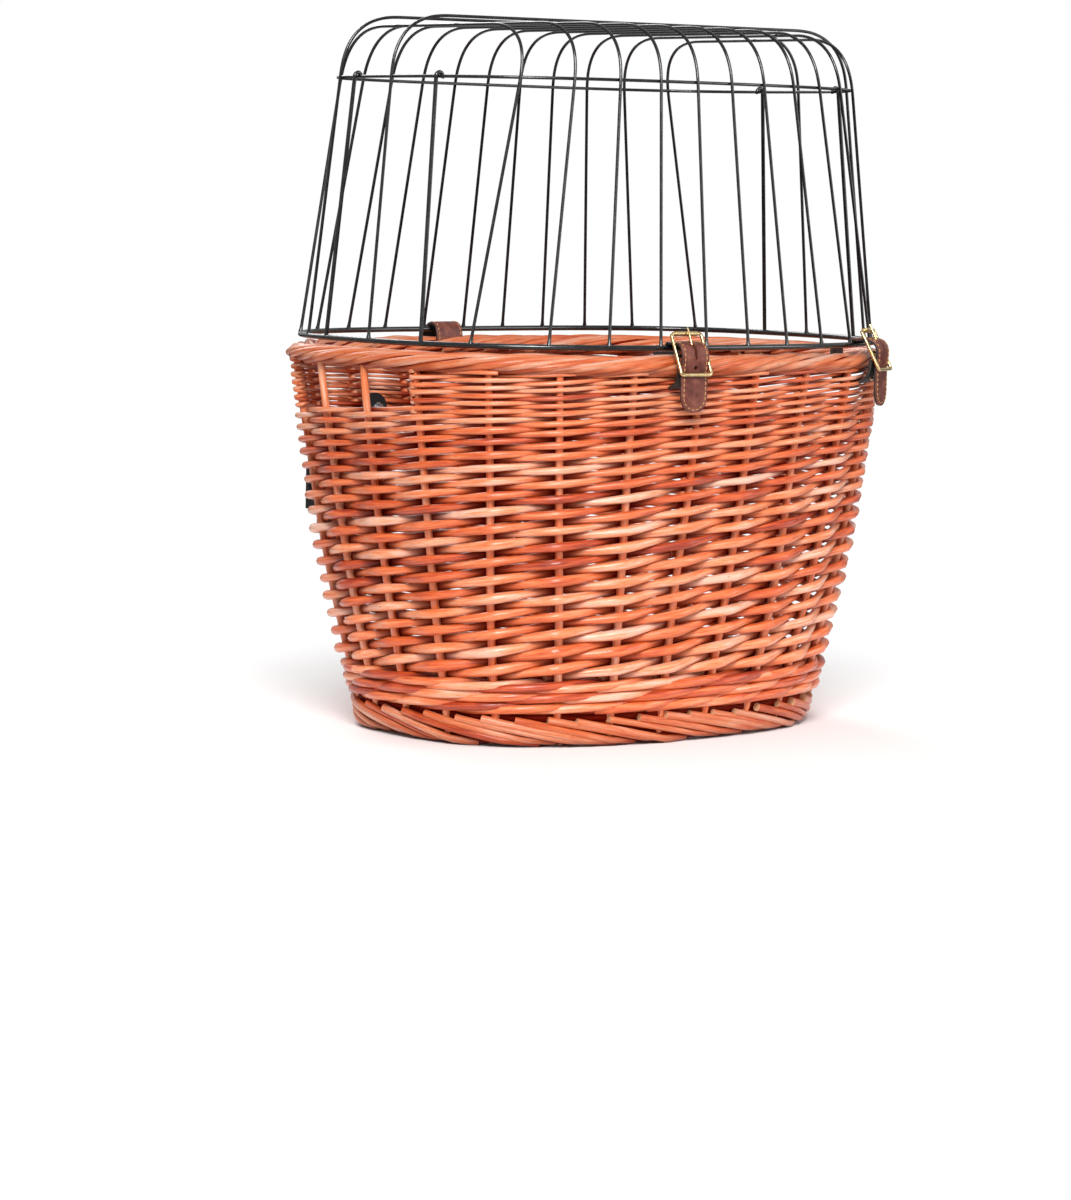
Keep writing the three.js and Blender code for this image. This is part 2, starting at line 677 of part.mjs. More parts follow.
function addClamps() {
  for (const [hand, side] of [['right', -1], ['left', 1]]) {
    const x = (side * ARM_SPACING) / 2;
    addPiece(`clamp_cap_${hand}`, placedClampHalf(x, 1), blackSteel);
    const sleeve = cutAll(
      new THREE.CylinderGeometry(BAR_RADIUS + LINER, BAR_RADIUS + LINER, ARM_WIDTH + 4, 32),
      [new THREE.CylinderGeometry(BAR_RADIUS, BAR_RADIUS, ARM_WIDTH + 6, 32)]);
    const liner = addPiece(`clamp_liner_${hand}`, sleeve.rotateZ(Math.PI / 2), rubber);
    liner.position.set(x, barY, BAR_HEIGHT);
    for (const [level, end] of [['upper', 1], ['lower', -1]]) {
      const front = BRACKET_Y - 1;
      const headSeat = barY + 5 + GAP;
      const bolt = addPiece(
        `clamp_bolt_${level}_${hand}`, boltGeometry(headSeat - front), zincSteel);
      bolt.position.set(x, front, BAR_HEIGHT + end * earBoltZ);
    }
  }
}

// A round plate under each nut spreads its load over the inside of the back wall.
function addWallFixings() {
  const z = ARM_HIGH - CROSSBAR_HEIGHT / 2;
  const plateReach = WALL_BOLT_X + INNER_PLATE_RADIUS + 2;
  const innerFace = planY(plateReach, wallSize(z - INNER_PLATE_RADIUS, WALL_THICKNESS), 1) - 4;
  const headSeat = BRACKET_Y + PLATE + GAP;
  const tip = innerFace - 2 - GAP - 4 - 2;
  for (const [hand, side] of [['right', -1], ['left', 1]]) {
    const bolt = addPiece(`wall_bolt_${hand}`, boltGeometry(headSeat - tip), zincSteel);
    bolt.position.set(side * WALL_BOLT_X, tip, z);
    const plate = new THREE.CylinderGeometry(INNER_PLATE_RADIUS, INNER_PLATE_RADIUS, 2, 32)
      .translate(side * WALL_BOLT_X, innerFace - 1, z);
    addPiece(`inner_plate_${hand}`, cutAll(plate, [boltHole(side * WALL_BOLT_X)]), blackSteel);
    const nut = addPiece(`wall_nut_${hand}`, nutGeometry(), zincSteel);
    nut.position.set(side * WALL_BOLT_X, innerFace - 2 - GAP - 2, z);
  }
}

// ---------------------------------------------------------------- assembly
addBase();
addFootBorder();
addWall();
addHandHoleStakes();
addRimBorder();
addCage();
addHingeStrap();
addClosures();
addBracketFrame();
addClamps();
addWallFixings();

export default part;
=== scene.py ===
"""Looks of a woven handlebar basket for a small pet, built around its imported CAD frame.

The willow body is woven rod by rod, and the cage wires, leather belts, stitching and buckles are
modelled. Sizes below are millimetres, turned to metres when a mesh is made. +Z is up, -Y is the
front and -X is the rider's right hand.
"""
import json
import math

import bmesh
import bpy
import numpy as np
from mathutils import Matrix, Vector


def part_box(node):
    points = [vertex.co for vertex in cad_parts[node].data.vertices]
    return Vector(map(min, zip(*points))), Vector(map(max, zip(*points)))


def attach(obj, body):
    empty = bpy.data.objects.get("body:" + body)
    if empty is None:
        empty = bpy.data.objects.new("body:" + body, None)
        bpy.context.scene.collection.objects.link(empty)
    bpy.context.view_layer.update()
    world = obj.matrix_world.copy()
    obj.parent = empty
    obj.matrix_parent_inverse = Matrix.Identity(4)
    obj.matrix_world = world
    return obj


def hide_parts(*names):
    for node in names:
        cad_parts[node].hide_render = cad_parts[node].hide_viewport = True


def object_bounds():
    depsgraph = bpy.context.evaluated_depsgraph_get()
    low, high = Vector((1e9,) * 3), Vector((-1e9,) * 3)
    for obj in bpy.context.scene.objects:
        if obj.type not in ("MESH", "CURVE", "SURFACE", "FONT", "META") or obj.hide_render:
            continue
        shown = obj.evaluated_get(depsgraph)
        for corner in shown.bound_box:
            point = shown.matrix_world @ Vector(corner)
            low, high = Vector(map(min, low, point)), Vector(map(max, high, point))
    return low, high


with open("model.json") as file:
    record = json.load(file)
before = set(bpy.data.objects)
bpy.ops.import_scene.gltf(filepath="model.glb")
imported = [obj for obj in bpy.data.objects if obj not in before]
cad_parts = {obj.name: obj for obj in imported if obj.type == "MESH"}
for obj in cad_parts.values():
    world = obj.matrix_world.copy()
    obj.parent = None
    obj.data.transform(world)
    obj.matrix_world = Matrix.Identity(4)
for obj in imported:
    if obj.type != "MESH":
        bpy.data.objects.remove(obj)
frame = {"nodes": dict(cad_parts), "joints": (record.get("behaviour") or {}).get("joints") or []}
cad_low, cad_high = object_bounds()
random = np.random.default_rng(11)
MM = 0.001


def box(node):
    """A CAD node's lowest and highest corner, in millimetres."""
    low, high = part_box(node)
    return np.array(low) / MM, np.array(high) / MM


# ---------------- sizes read from the frame
RIM_LOW, RIM_HIGH = box("rim_border")
WALL_HIGH = box("wicker_wall")[1]
FOOT_HIGH = box("foot_border")[1]
BASE_HIGH = box("wicker_base")[1]
RING_LOW, RING_HIGH = box("cage_base_ring")
UPPER_LOW, UPPER_HIGH = box("cage_upper_ring")
JOINTS = {joint["name"]: joint for joint in frame["joints"]}
HANDS = ("right", "left")

# The plan is a superellipse, squarer at the back. The wall draws in below its top edge.
FRONT_POWER = 2.4
BACK_POWER = 3.2
TAPER_SLOPE = 0.089
TAPER_CURVE = 0.00036

STAKES = 24
STAKE_PHASE = 0.27
STAKE_RADIUS = 2.8

# Each hand hole runs on from one stake for a few bays, above its sill.
HAND_HOLES = (10, 22)
HOLE_BAYS = 3
HOLE_SILL = 223
WEAVE_LOW = 49
WEAVE_HIGH = WALL_HIGH[2] + 4

# Radii of the frame's wires, then of the slightly thinner ones drawn in their place.
WIRE = 1.5
RING_WIRE = 2.5
SEEN_WIRE = 1.12
SEEN_RING_WIRE = 1.95
SEEN_CORNER_WIRE = 1.45
LEATHER = 2.2


class Plan:
    """The basket's outline at one size. u is the share of its length, from +X towards the back."""

    def __init__(self, half_width, half_depth):
        self.size = half_width, half_depth
        self.angle = np.linspace(0, 2 * np.pi, 2881)
        x, y, _ = self._trace(self.angle, 0)
        steps = np.hypot(np.diff(x), np.diff(y))
        self.length = steps.sum()
        self.share = np.concatenate([[0], np.cumsum(steps)]) / self.length

    def _trace(self, angle, inset):
        power = np.where(np.sin(angle) > 0, BACK_POWER, FRONT_POWER)
        width, depth = self.size[0] - inset, self.size[1] - inset
        c, s = np.cos(angle), np.sin(angle)
        x = np.sign(c) * np.abs(c) ** (2 / power) * width
        y = np.sign(s) * np.abs(s) ** (2 / power) * depth
        normal = np.stack([
            np.sign(x) * np.abs(x / width) ** (power - 1) / width,
            np.sign(y) * np.abs(y / depth) ** (power - 1) / depth,
            np.zeros_like(x)], axis=-1)
        return x, y, normal / np.linalg.norm(normal, axis=-1, keepdims=True)

    def at(self, u, z, inset=0.0, out=0.0):
        """Points and outward normals at u and height z, drawn in by inset, then moved out."""
        u, z, inset, out = np.broadcast_arrays(np.asarray(u, float), z, inset, out)
        x, y, normal = self._trace(np.interp(u % 1, self.share, self.angle), inset)
        return np.stack([x, y, z], axis=-1) + normal * out[..., None], normal

    def edge_y(self, x, side):
        """Where the outline crosses a line of constant x: side is 1 at the back and -1 at the front."""
        power = BACK_POWER if side > 0 else FRONT_POWER
        return side * self.size[1] * (1 - abs(x / self.size[0]) ** power) ** (1 / power)

    def edge_x(self, y, side):
        """Where the outline crosses a line of constant y: side is 1 at the left and -1 at the right."""
        power = BACK_POWER if y > 0 else FRONT_POWER
        return side * self.size[0] * (1 - abs(y / self.size[1]) ** power) ** (1 / power)


def taper(z):
    """How far the wall at height z is drawn in from its top edge."""
    drop = WALL_HIGH[2] - z
    return TAPER_SLOPE * drop + TAPER_CURVE * drop * drop


RIM_BULGE = 5
wall_plan = Plan(RIM_HIGH[0] - RIM_BULGE, RIM_HIGH[1] - RIM_BULGE)
BAY = wall_plan.length / STAKES


# ---------------- mesh building
def place_in_scene(name, data):
    made = bpy.data.objects.new(name, data)
    bpy.context.scene.collection.objects.link(made)
    return made


def add_object(name, points, faces, *materials):
    """A new object in the scene, from points in millimetres."""
    mesh = bpy.data.meshes.new(name)
    mesh.from_pydata((np.asarray(points) * MM).tolist(), [], faces)
    for material in materials:
        mesh.materials.append(material)
    return place_in_scene(name, mesh)


def finish_piece(piece, body, slot, *nodes):
    """Makes a piece move with a body and hides the CAD nodes it stands for. The slot is not used."""
    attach(piece, body)
    if nodes:
        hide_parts(*nodes)


def distances(path, closed=False):
    """How far along the path each point lies. A closed path gets one more, for its way back."""
    ends = np.roll(path, -1, axis=0) if closed else path[1:]
    steps = np.linalg.norm(ends - path[:len(ends)], axis=1)
    return np.concatenate([[0], np.cumsum(steps)])


def directions(path, closed):
    """The path's unit tangent at each point."""
    tangent = np.roll(path, -1, axis=0) - np.roll(path, 1, axis=0)
    if not closed:
        tangent[0] = path[1] - path[0]
        tangent[-1] = path[-1] - path[-2]
    return tangent / np.linalg.norm(tangent, axis=1, keepdims=True)


def section_frames(path, side, closed):
    """Two unit vectors across the path at each point. They follow side, or turn as little as they can."""
    tangent = directions(path, closed)
    if side is None:
        side = np.empty_like(path)
        start = np.eye(3)[np.argmin(np.abs(tangent[0]))]
        for i, direction in enumerate(tangent):
            start = start - np.dot(start, direction) * direction
            start = start / np.linalg.norm(start)
            side[i] = start
    else:
        side = np.broadcast_to(side, path.shape)
        side = side - np.sum(side * tangent, axis=1, keepdims=True) * tangent
        side = side / np.linalg.norm(side, axis=1, keepdims=True)
    return side, np.cross(tangent, side)


class Rods:
    """Collects round rods into one mesh. Vertices keep their rod's own coordinates for the materials:

    grain is (distance along, cosine round, sine round), tone and seed are one number a rod, cut is 1 on a
    sawn end, and the painted shade attribute is 1 where the rod lies far into the weave: there the willow
    is made darker as painted shade.
    """

    def __init__(self, sides=8, girth=20.0):
        self.sides = sides
        self.turn = np.arange(sides) * 2 * np.pi / sides
        self.girth = girth
        self.total = 0.0
        self.count = 0
        self.vertices = []
        self.faces = []
        self.values = {"grain": [], "tone": [], "seed": [], "cut": [], "bury": []}
        self.corners = []

    def _keep(self, points, grain, tone, seed, cut, bury):
        amount = len(points)
        first = self.count
        self.vertices.append(points)
        self.values["grain"].append(grain)
        for name, value in (("tone", tone), ("seed", seed), ("cut", cut), ("bury", bury)):
            self.values[name].append(np.broadcast_to(value, amount).astype(float))
        self.count += amount
        return first

    def add(self, path, radius, side=None, closed=False, flat=1.0, tone=0.5, bury=0.0):
        path = np.asarray(path, float)
        amount = len(path)
        radius = np.broadcast_to(radius, amount)
        bury = np.broadcast_to(bury, amount)
        seed = random.random()
        across, up = section_frames(path, side, closed)
        cosine, sine = np.cos(self.turn)[None, :, None], np.sin(self.turn)[None, :, None]
        ring = cosine * across[:, None] + flat * sine * up[:, None]
        points = path[:, None] + radius[:, None, None] * ring
        along = distances(path, closed)
        grain = np.empty((amount, self.sides, 3))
        grain[..., 0] = along[:amount, None]
        grain[..., 1] = np.cos(self.turn)
        grain[..., 2] = np.sin(self.turn)
        first = self._keep(points.reshape(-1, 3), grain.reshape(-1, 3), tone, seed, 0.0,
                           np.repeat(bury, self.sides))
        ring_number, corner = np.meshgrid(np.arange(len(along) - 1), np.arange(self.sides), indexing="ij")
        following = (ring_number + 1) % amount
        beside = (corner + 1) % self.sides
        quads = first + np.stack([
            ring_number * self.sides + corner, following * self.sides + corner,
            following * self.sides + beside, ring_number * self.sides + beside], axis=-1)
        self.faces.extend(quads.reshape(-1, 4).tolist())
        near, far = self.total + along[:-1][ring_number], self.total + along[1:][ring_number]
        low, high = corner / self.sides, (corner + 1) / self.sides
        self.corners.append(np.stack([
            np.stack([near, low, near], -1), np.stack([far, low, near], -1),
            np.stack([far, high, near], -1), np.stack([near, high, near], -1)], axis=2).reshape(-1, 3))
        self.total += along[-1]
        if not closed:
            self._cap(points[0][::-1], path[0], tone, seed, bury[0])
            self._cap(points[-1], path[-1], tone, seed, bury[-1])

    def _cap(self, ring, centre, tone, seed, bury):
        """Closes a rod's end with a sawn face. Its vertices are its own, so that its edge is crisp."""
        grain = np.zeros((self.sides + 1, 3))
        grain[:-1, 1] = np.cos(self.turn)
        grain[:-1, 2] = np.sin(self.turn)
        first = self._keep(np.vstack([ring, centre]), grain, tone, seed, 1.0, bury)
        middle = self.total + self.girth / 2
        edge = [[middle + 0.4 * self.girth * math.cos(a), 0.5 + 0.4 * math.sin(a), self.total]
                for a in self.turn]
        for i in range(self.sides):
            j = (i + 1) % self.sides
            self.faces.append([first + i, first + j, first + self.sides])
            self.corners.append(np.array([edge[i], edge[j], [middle, 0.5, self.total]]))
        self.total += self.girth

    def _bake_map(self):
        """Texture coordinates for an export: every rod end to end as one ribbon, folded onto shelves."""
        shelves = max(1, round(math.sqrt(self.total / self.girth)))
        shelf_length = self.total / shelves
        corners = np.concatenate(self.corners)
        shelf = np.minimum(np.floor(corners[:, 2] / shelf_length), shelves - 1)
        x = (corners[:, 0] - shelf * shelf_length) / (shelf_length + 2 * self.girth)
        y = (shelf + 0.06 + 0.88 * corners[:, 1]) / shelves
        return np.stack([x, y], axis=-1)

    def build(self, name, material, body, slot, *nodes):
        piece = add_object(name, np.concatenate(self.vertices), self.faces, material)
        mesh = piece.data
        mesh.shade_smooth()
        for key, parts in self.values.items():
            kind, field = ("FLOAT_VECTOR", "vector") if key == "grain" else ("FLOAT", "value")
            layer = mesh.attributes.new(key, kind, "POINT")
            layer.data.foreach_set(field, np.concatenate(parts).astype(np.float32).ravel())
        mesh.uv_layers.new(name="OFBake")
        mesh.uv_layers["OFBake"].uv.foreach_set("vector", self._bake_map().astype(np.float32).ravel())
        finish_piece(piece, body, slot, *nodes)


def smooth(points, steps, closed=False):
    """A Catmull-Rom curve through the points."""
    points = np.asarray(points, float)
    amount = len(points)
    t = np.arange(steps)[:, None] / steps
    curve = []
    for i in range(amount if closed else amount - 1):
        places = np.arange(i - 1, i + 3)
        a, b, c, d = points[places % amount if closed else np.clip(places, 0, amount - 1)]
        curve.append(0.5 * (2 * b + (c - a) * t + (2 * a - 5 * b + 4 * c - d) * t ** 2
                            + (3 * b - a - 3 * c + d) * t ** 3))
    if not closed:
        curve.append(points[-1:])
    return np.concatenate(curve)


def rounded(corners, reach, steps=10):
    """Straights between the corners. Each inner corner becomes a curve that starts reach before it."""
    corners = [np.asarray(corner, float) for corner in corners]
    path = [corners[0][None]]
    t = np.linspace(0, 1, steps + 1)[:, None]
    for before, corner, after in zip(corners, corners[1:], corners[2:]):
        start = corner + (before - corner) / np.linalg.norm(before - corner) * reach
        end = corner + (after - corner) / np.linalg.norm(after - corner) * reach
        path.append((1 - t) ** 2 * start + 2 * t * (1 - t) * corner + t ** 2 * end)
    path.append(corners[-1][None])
    return np.concatenate(path)


def resample(path, spacing):
    """The path at even spacing along its length."""
    along = distances(path)
    places = np.linspace(0, along[-1], max(2, round(along[-1] / spacing) + 1))
    return np.stack([np.interp(places, along, path[:, i]) for i in range(path.shape[1])], axis=-1)


# ---------------- materials
def rgb(text):
    """A colour written as sRGB hex, as the linear colour that Blender wants."""
    values = [int(text[i:i + 2], 16) / 255 for i in (0, 2, 4)]
    return [v / 12.92 if v <= 0.04045 else ((v + 0.055) / 1.055) ** 2.4 for v in values] + [1.0]


class Nodes:
    """A short way to write a material's node tree. Each method returns an output socket."""

    def __init__(self, name):
        self.material = bpy.data.materials.new(name)
        self.material.use_nodes = True
        self.tree = self.material.node_tree
        self.shader = self.tree.nodes["Principled BSDF"]

    def node(self, kind, inputs=(), **settings):
        made = self.tree.nodes.new("ShaderNode" + kind)
        for key, value in settings.items():
            setattr(made, key, value)
        for key, value in dict(inputs).items():
            self.put(made.inputs[key], value)
        return made

    def put(self, socket, value):
        """Links an input to another node's output, or gives it a value."""
        if isinstance(value, bpy.types.NodeSocket):
            self.tree.links.new(value, socket)
        else:
            socket.default_value = value

    def set(self, **inputs):
        for key, value in inputs.items():
            self.put(self.shader.inputs[key.replace("_", " ")], value)

    def attribute(self, name, output="Fac"):
        return self.node("Attribute", attribute_name=name).outputs[output]

    def math(self, operation, a, b=0.0, clamp=False):
        return self.node("Math", {0: a, 1: b}, operation=operation, use_clamp=clamp).outputs[0]

    def noise(self, vector, scale=1.0, detail=3.0, rough=0.5):
        return self.node("TexNoise", {
            "Vector": vector, "Scale": scale, "Detail": detail, "Roughness": rough}).outputs["Fac"]

    def stretch(self, vector, scale):
        return self.node("Mapping", {"Vector": vector, "Scale": scale}).outputs[0]

    def fit(self, value, low, high, to_low=0.0, to_high=1.0):
        return self.node("MapRange", {
            "Value": value, "From Min": low, "From Max": high,
            "To Min": to_low, "To Max": to_high}).outputs[0]

    def ramp(self, value, stops):
        made = self.node("ValToRGB", {"Fac": value})
        elements = made.color_ramp.elements
        while len(elements) < len(stops):
            elements.new(0.5)
        for element, (place, colour) in zip(elements, stops):
            element.position = place
            element.color = rgb(colour)
        return made.outputs["Color"]

    def mix(self, share, a, b, blend="MIX"):
        return self.node("Mix", {0: share, 6: a, 7: b}, data_type="RGBA", blend_type=blend).outputs[2]

    def bump(self, height, strength, distance):
        return self.node("Bump", {
            "Height": height, "Strength": strength, "Distance": distance}).outputs[0]

    def position(self):
        return self.node("TexCoord").outputs["Object"]


# From dark red rods to pale ones.
WILLOW_TONES = ((0.00, "932a0b"), (0.18, "bc4418"), (0.38, "da632e"),
                (0.58, "e87b46"), (0.78, "ec996d"), (1.00, "f0bca3"))


def willow_material(name, inside_shade=0.0):
    """Varnished, stained willow: streaks along each rod, pale pink patches that are partly the willow's own
    waxy film and partly painted highlight, painted shade in the crevices, and pale sawn ends.
    """
    n = Nodes(name)
    grain = n.attribute("grain", "Vector")
    tone = n.attribute("tone")
    shift = n.node("CombineXYZ", {
        "X": n.math("MULTIPLY", n.attribute("seed"), 900.0),
        "Y": n.math("MULTIPLY", tone, 31.0)}).outputs[0]
    along = n.stretch(grain, (0.02, 1.0, 1.0))
    place = n.node("VectorMath", {0: along, 1: shift}, operation="ADD").outputs[0]
    streaks = n.noise(n.stretch(place, (1.0, 0.85, 0.85)), 2.2, 5, 0.66)
    fibres = n.noise(n.stretch(place, (2.5, 7.0, 7.0)), 2.0, 3, 0.6)
    drift = n.noise(n.stretch(place, (0.8, 0.35, 0.35)), 1.0, 2)
    scars = n.fit(n.noise(n.stretch(place, (6.0, 1.2, 1.2)), 3.0, 2), 0.69, 0.76)
    shade = n.math("ADD", tone, n.fit(drift, 0.3, 0.7, -0.17, 0.17))
    shade = n.math("ADD", shade, n.fit(fibres, 0.3, 0.7, -0.12, 0.12))
    shade = n.math("ADD", shade, n.fit(streaks, 0.3, 0.7, -0.26, 0.26), clamp=True)
    colour = n.ramp(shade, WILLOW_TONES)
    # Pale pink patches: partly the willow's own waxy film, partly a painted highlight on the varnish.
    bloom_and_highlight = n.math("MULTIPLY", n.fit(drift, 0.48, 0.72), n.fit(streaks, 0.4, 0.62), clamp=True)
    bloom_and_highlight = n.math("MULTIPLY", bloom_and_highlight, n.fit(tone, 0.3, 0.8, 0.0, 0.6))
    colour = n.mix(bloom_and_highlight, colour, rgb("f0b3a0"))
    colour = n.mix(n.math("MULTIPLY", scars, 0.7), colour, rgb("6b1f0a"))
    # Painted shade: rods that lie far into the weave, and the whole of the inside copy, are multiplied
    # towards dark red.
    shade_mix = n.math("ADD", n.fit(n.attribute("bury"), 0.4, 1.0, 0.0, 0.95), inside_shade, clamp=True)
    colour = n.mix(shade_mix, colour, n.mix(1.0, colour, rgb("7c2006"), "MULTIPLY"))
    sawn = n.mix(n.fit(fibres, 0.3, 0.7), rgb("c98f62"), rgb("e7c29b"))
    colour = n.mix(n.math("MULTIPLY", n.attribute("cut"), 0.8), colour, sawn)
    height = n.math("ADD", n.math("MULTIPLY", fibres, 0.35), n.math("SUBTRACT", streaks, scars))
    open_air = n.math("SUBTRACT", 1.0, shade_mix)
    n.set(Base_Color=colour, Roughness=n.fit(streaks, 0.3, 0.7, 0.28, 0.5),
          Normal=n.bump(height, 0.6, 0.0006), Specular_IOR_Level=n.math("MULTIPLY", open_air, 0.5),
          Coat_Weight=n.math("MULTIPLY", open_air, 0.45), Coat_Roughness=0.16)
    return n.material


def wire_material():
    """Black enamelled wire, with slight runs in the enamel and dull patches of dust."""
    n = Nodes("black_wire")
    runs = n.noise(n.stretch(n.attribute("grain", "Vector"), (0.05, 1.5, 1.5)), 2.0, 4)
    dust = n.noise(n.position(), 90.0, 4, 0.6)
    n.set(Base_Color=n.mix(n.fit(dust, 0.5, 0.85), rgb("08090a"), rgb("222427")),
          Roughness=n.fit(dust, 0.3, 0.75, 0.18, 0.34), Coat_Weight=0.6, Coat_Roughness=0.1,
          Normal=n.bump(runs, 0.3, 0.0004))
    return n.material


def leather_material(name, dark, mid, light, roughness=0.42):
    """Smooth leather with a fine pebble, creases, mottling and rubbed high spots."""
    n = Nodes(name)
    place = n.position()
    cells = n.node("TexVoronoi", {"Vector": place, "Scale": 1100.0}, feature="DISTANCE_TO_EDGE")
    pebble = n.fit(cells.outputs[0], 0.0, 0.35)
    creases = n.noise(n.stretch(place, (60.0, 60.0, 260.0)), 1.0, 6, 0.65)
    mottle = n.noise(place, 150.0, 5, 0.6)
    colour = n.ramp(n.fit(mottle, 0.3, 0.7), ((0.0, dark), (0.5, mid), (1.0, light)))
    colour = n.mix(n.fit(creases, 0.6, 0.78, 0.0, 0.45), colour, rgb(light))
    colour = n.mix(n.fit(pebble, 0.0, 0.5, 0.35, 0.0), colour, rgb(dark))
    height = n.math("ADD", n.math("MULTIPLY", pebble, 0.5), creases)
    n.set(Base_Color=colour, Roughness=n.fit(mottle, 0.3, 0.7, roughness - 0.08, roughness + 0.12),
          Normal=n.bump(height, 0.35, 0.0003))
    return n.material


def thread_material():
    """Waxed tan thread with its twist."""
    n = Nodes("tan_thread")
    place = n.attribute("grain", "Vector")
    twist = n.noise(n.stretch(place, (3.0, 1.5, 1.5)), 1.6, 2)
    n.set(Base_Color=n.mix(n.fit(twist, 0.3, 0.7), rgb("a8713f"), rgb("d9a76c")), Roughness=0.6,
          Normal=n.bump(twist, 0.5, 0.0002))
    return n.material


def brass_material():
    """Polished pale brass with faint tarnish and dull grime."""
    n = Nodes("brass")
    place = n.position()
    tarnish = n.noise(place, 220.0, 5, 0.6)
    grime = n.noise(n.stretch(place, (300.0, 900.0, 900.0)), 1.0, 3)
    colour = n.ramp(n.fit(tarnish, 0.3, 0.75), ((0.0, "ecd8a8"), (1.0, "cba76c")))
    n.set(Base_Color=colour, Metallic=1.0, Roughness=n.fit(grime, 0.3, 0.7, 0.16, 0.36),
          Normal=n.bump(tarnish, 0.08, 0.0001))
    return n.material


def steel_material(name, colour, worn, metallic, roughness):
    """Coated or plated steel with orange peel, and a rubbed look in patches."""
    n = Nodes(name)
    place = n.position()
    peel = n.noise(place, 900.0, 2)
    patches = n.noise(place, 70.0, 6, 0.65)
    n.set(Base_Color=n.mix(n.fit(patches, 0.52, 0.75, 0.0, 0.6), rgb(colour), rgb(worn)),
          Metallic=metallic, Roughness=n.fit(patches, 0.3, 0.7, roughness - 0.08, roughness + 0.12),
          Normal=n.bump(peel, 0.25, 0.0002))
    return n.material


willow = willow_material("willow")
# A darker copy of the willow for the basket's inside: painted shade.
willow_shaded_inside = willow_material("willow_shaded_inside", inside_shade=0.12)
black_wire = wire_material()
brown_leather = leather_material("brown_leather", "471c14", "6c3326", "8a4f40")
dark_leather = leather_material("dark_leather", "15120f", "26211d", "3b332c", roughness=0.6)
tan_thread = thread_material()
brass = brass_material()
black_steel = steel_material("black_steel", "131415", "2b2c2e", 0.3, 0.42)
zinc_steel = steel_material("zinc_steel", "9ea1a4", "c3c5c7", 1.0, 0.3)
rubber = steel_material("rubber", "1b1b1b", "2a2928", 0.0, 0.8)


# ---------------- willow body
# Each of these maps heights to sizes: how far the weave's middle lies inside the wall's face, how
# far a rod climbs in one bay, a rod's radius, and how far it swings beyond a stake.
HALF_THICKNESS = {40: 6.3, 200: 5.8, 250: 3.6}
ROW_PITCH = {45: 6.3, 120: 6.1, 150: 5.7, 170: 5.2, 195: 4.5, 215: 3.9, 226: 3.3, 233: 2.65}
ROD_RADIUS = {50: 3.8, 140: 3.6, 190: 2.85, 220: 2.4, 234: 1.75, 255: 1.6}
ROD_SWING = {50: 3.2, 250: 1.4}


def by_height(z, sizes):
    return np.interp(z, list(sizes), list(sizes.values()))


def pick_tone():
    """A rod's shade on the willow scale: mostly orange, with some dark red and some pale rods."""
    return float(np.clip(random.normal(0.52, 0.18), 0.05, 0.95))


def on_wall(place, z, out):
    """Points and normals in the weave: place counts stakes, and out is measured from its middle."""
    u = (np.asarray(place) + STAKE_PHASE) / STAKES
    return wall_plan.at(u, z, taper(z) + by_height(z, HALF_THICKNESS), out)


def wander(amount, size):
    """A smooth random line, for rods that are never quite straight."""
    t = np.linspace(0, 1, amount)
    waves = sum(random.normal() * np.sin(np.pi * k * t + random.uniform(0, 6)) / k for k in (1, 2, 3))
    return size * waves


def row_heights():
    """Heights of a rod at each stake it passes. Rods start thick at the foot and end thin at the rim."""
    heights = [WEAVE_LOW]
    while heights[-1] < WEAVE_HIGH:
        heights.append(heights[-1] + by_height(heights[-1], ROW_PITCH))
    return np.array(heights)


def row_height(row):
    """The height at a row number, which may lie between two rows."""
    return np.interp(row, np.arange(ROWS + 1), HEIGHTS)


HEIGHTS = row_heights()
ROWS = len(HEIGHTS) - 1
WEAVE_BANDS = 6
# At 1 a rod would zigzag between stakes, and near 0 it swings as a sine wave.
SHARPNESS = 0.99
# Where round the basket, counted in bays, the rods are thickest.
THICK_SIDE = 15.5


def window_cuts(lineage, start, end):
    """The stretches of a climbing rod that are left once the hand holes are taken out of it."""
    stretches = [(start, end)]
    for hole in HAND_HOLES:
        for turn in range(4):
            near = hole + STAKES * turn - lineage
            far = near + HOLE_BAYS
            if near < 0 or near > ROWS or row_height(near) < HOLE_SILL:
                continue
            split = [((a, min(b, near)), (max(a, far), b)) for a, b in stretches]
            stretches = [(a, b) for pair in split for a, b in pair if a < b]
    return stretches


def ends_at_hole(lineage, where, edge):
    """Whether a rod stops at a hand hole's edge stake: edge is 0 for the stake it reaches first."""
    beside = any(abs((lineage + where - hole - edge) % STAKES) < 1e-6 for hole in HAND_HOLES)
    return beside and row_height(where) > HOLE_SILL


def turn_back(end, towards):
    """A half turn round a hand hole's edge stake, from one side of the wall to the other."""
    place, height, out, radius = end
    angle = np.linspace(np.pi / 2, -np.pi / 2, 9)
    return np.stack([
        place + towards * abs(out) * np.cos(angle) / BAY, height + np.linspace(0, 1.6, 9),
        out * np.sin(angle), np.full(9, 0.9 * radius)])


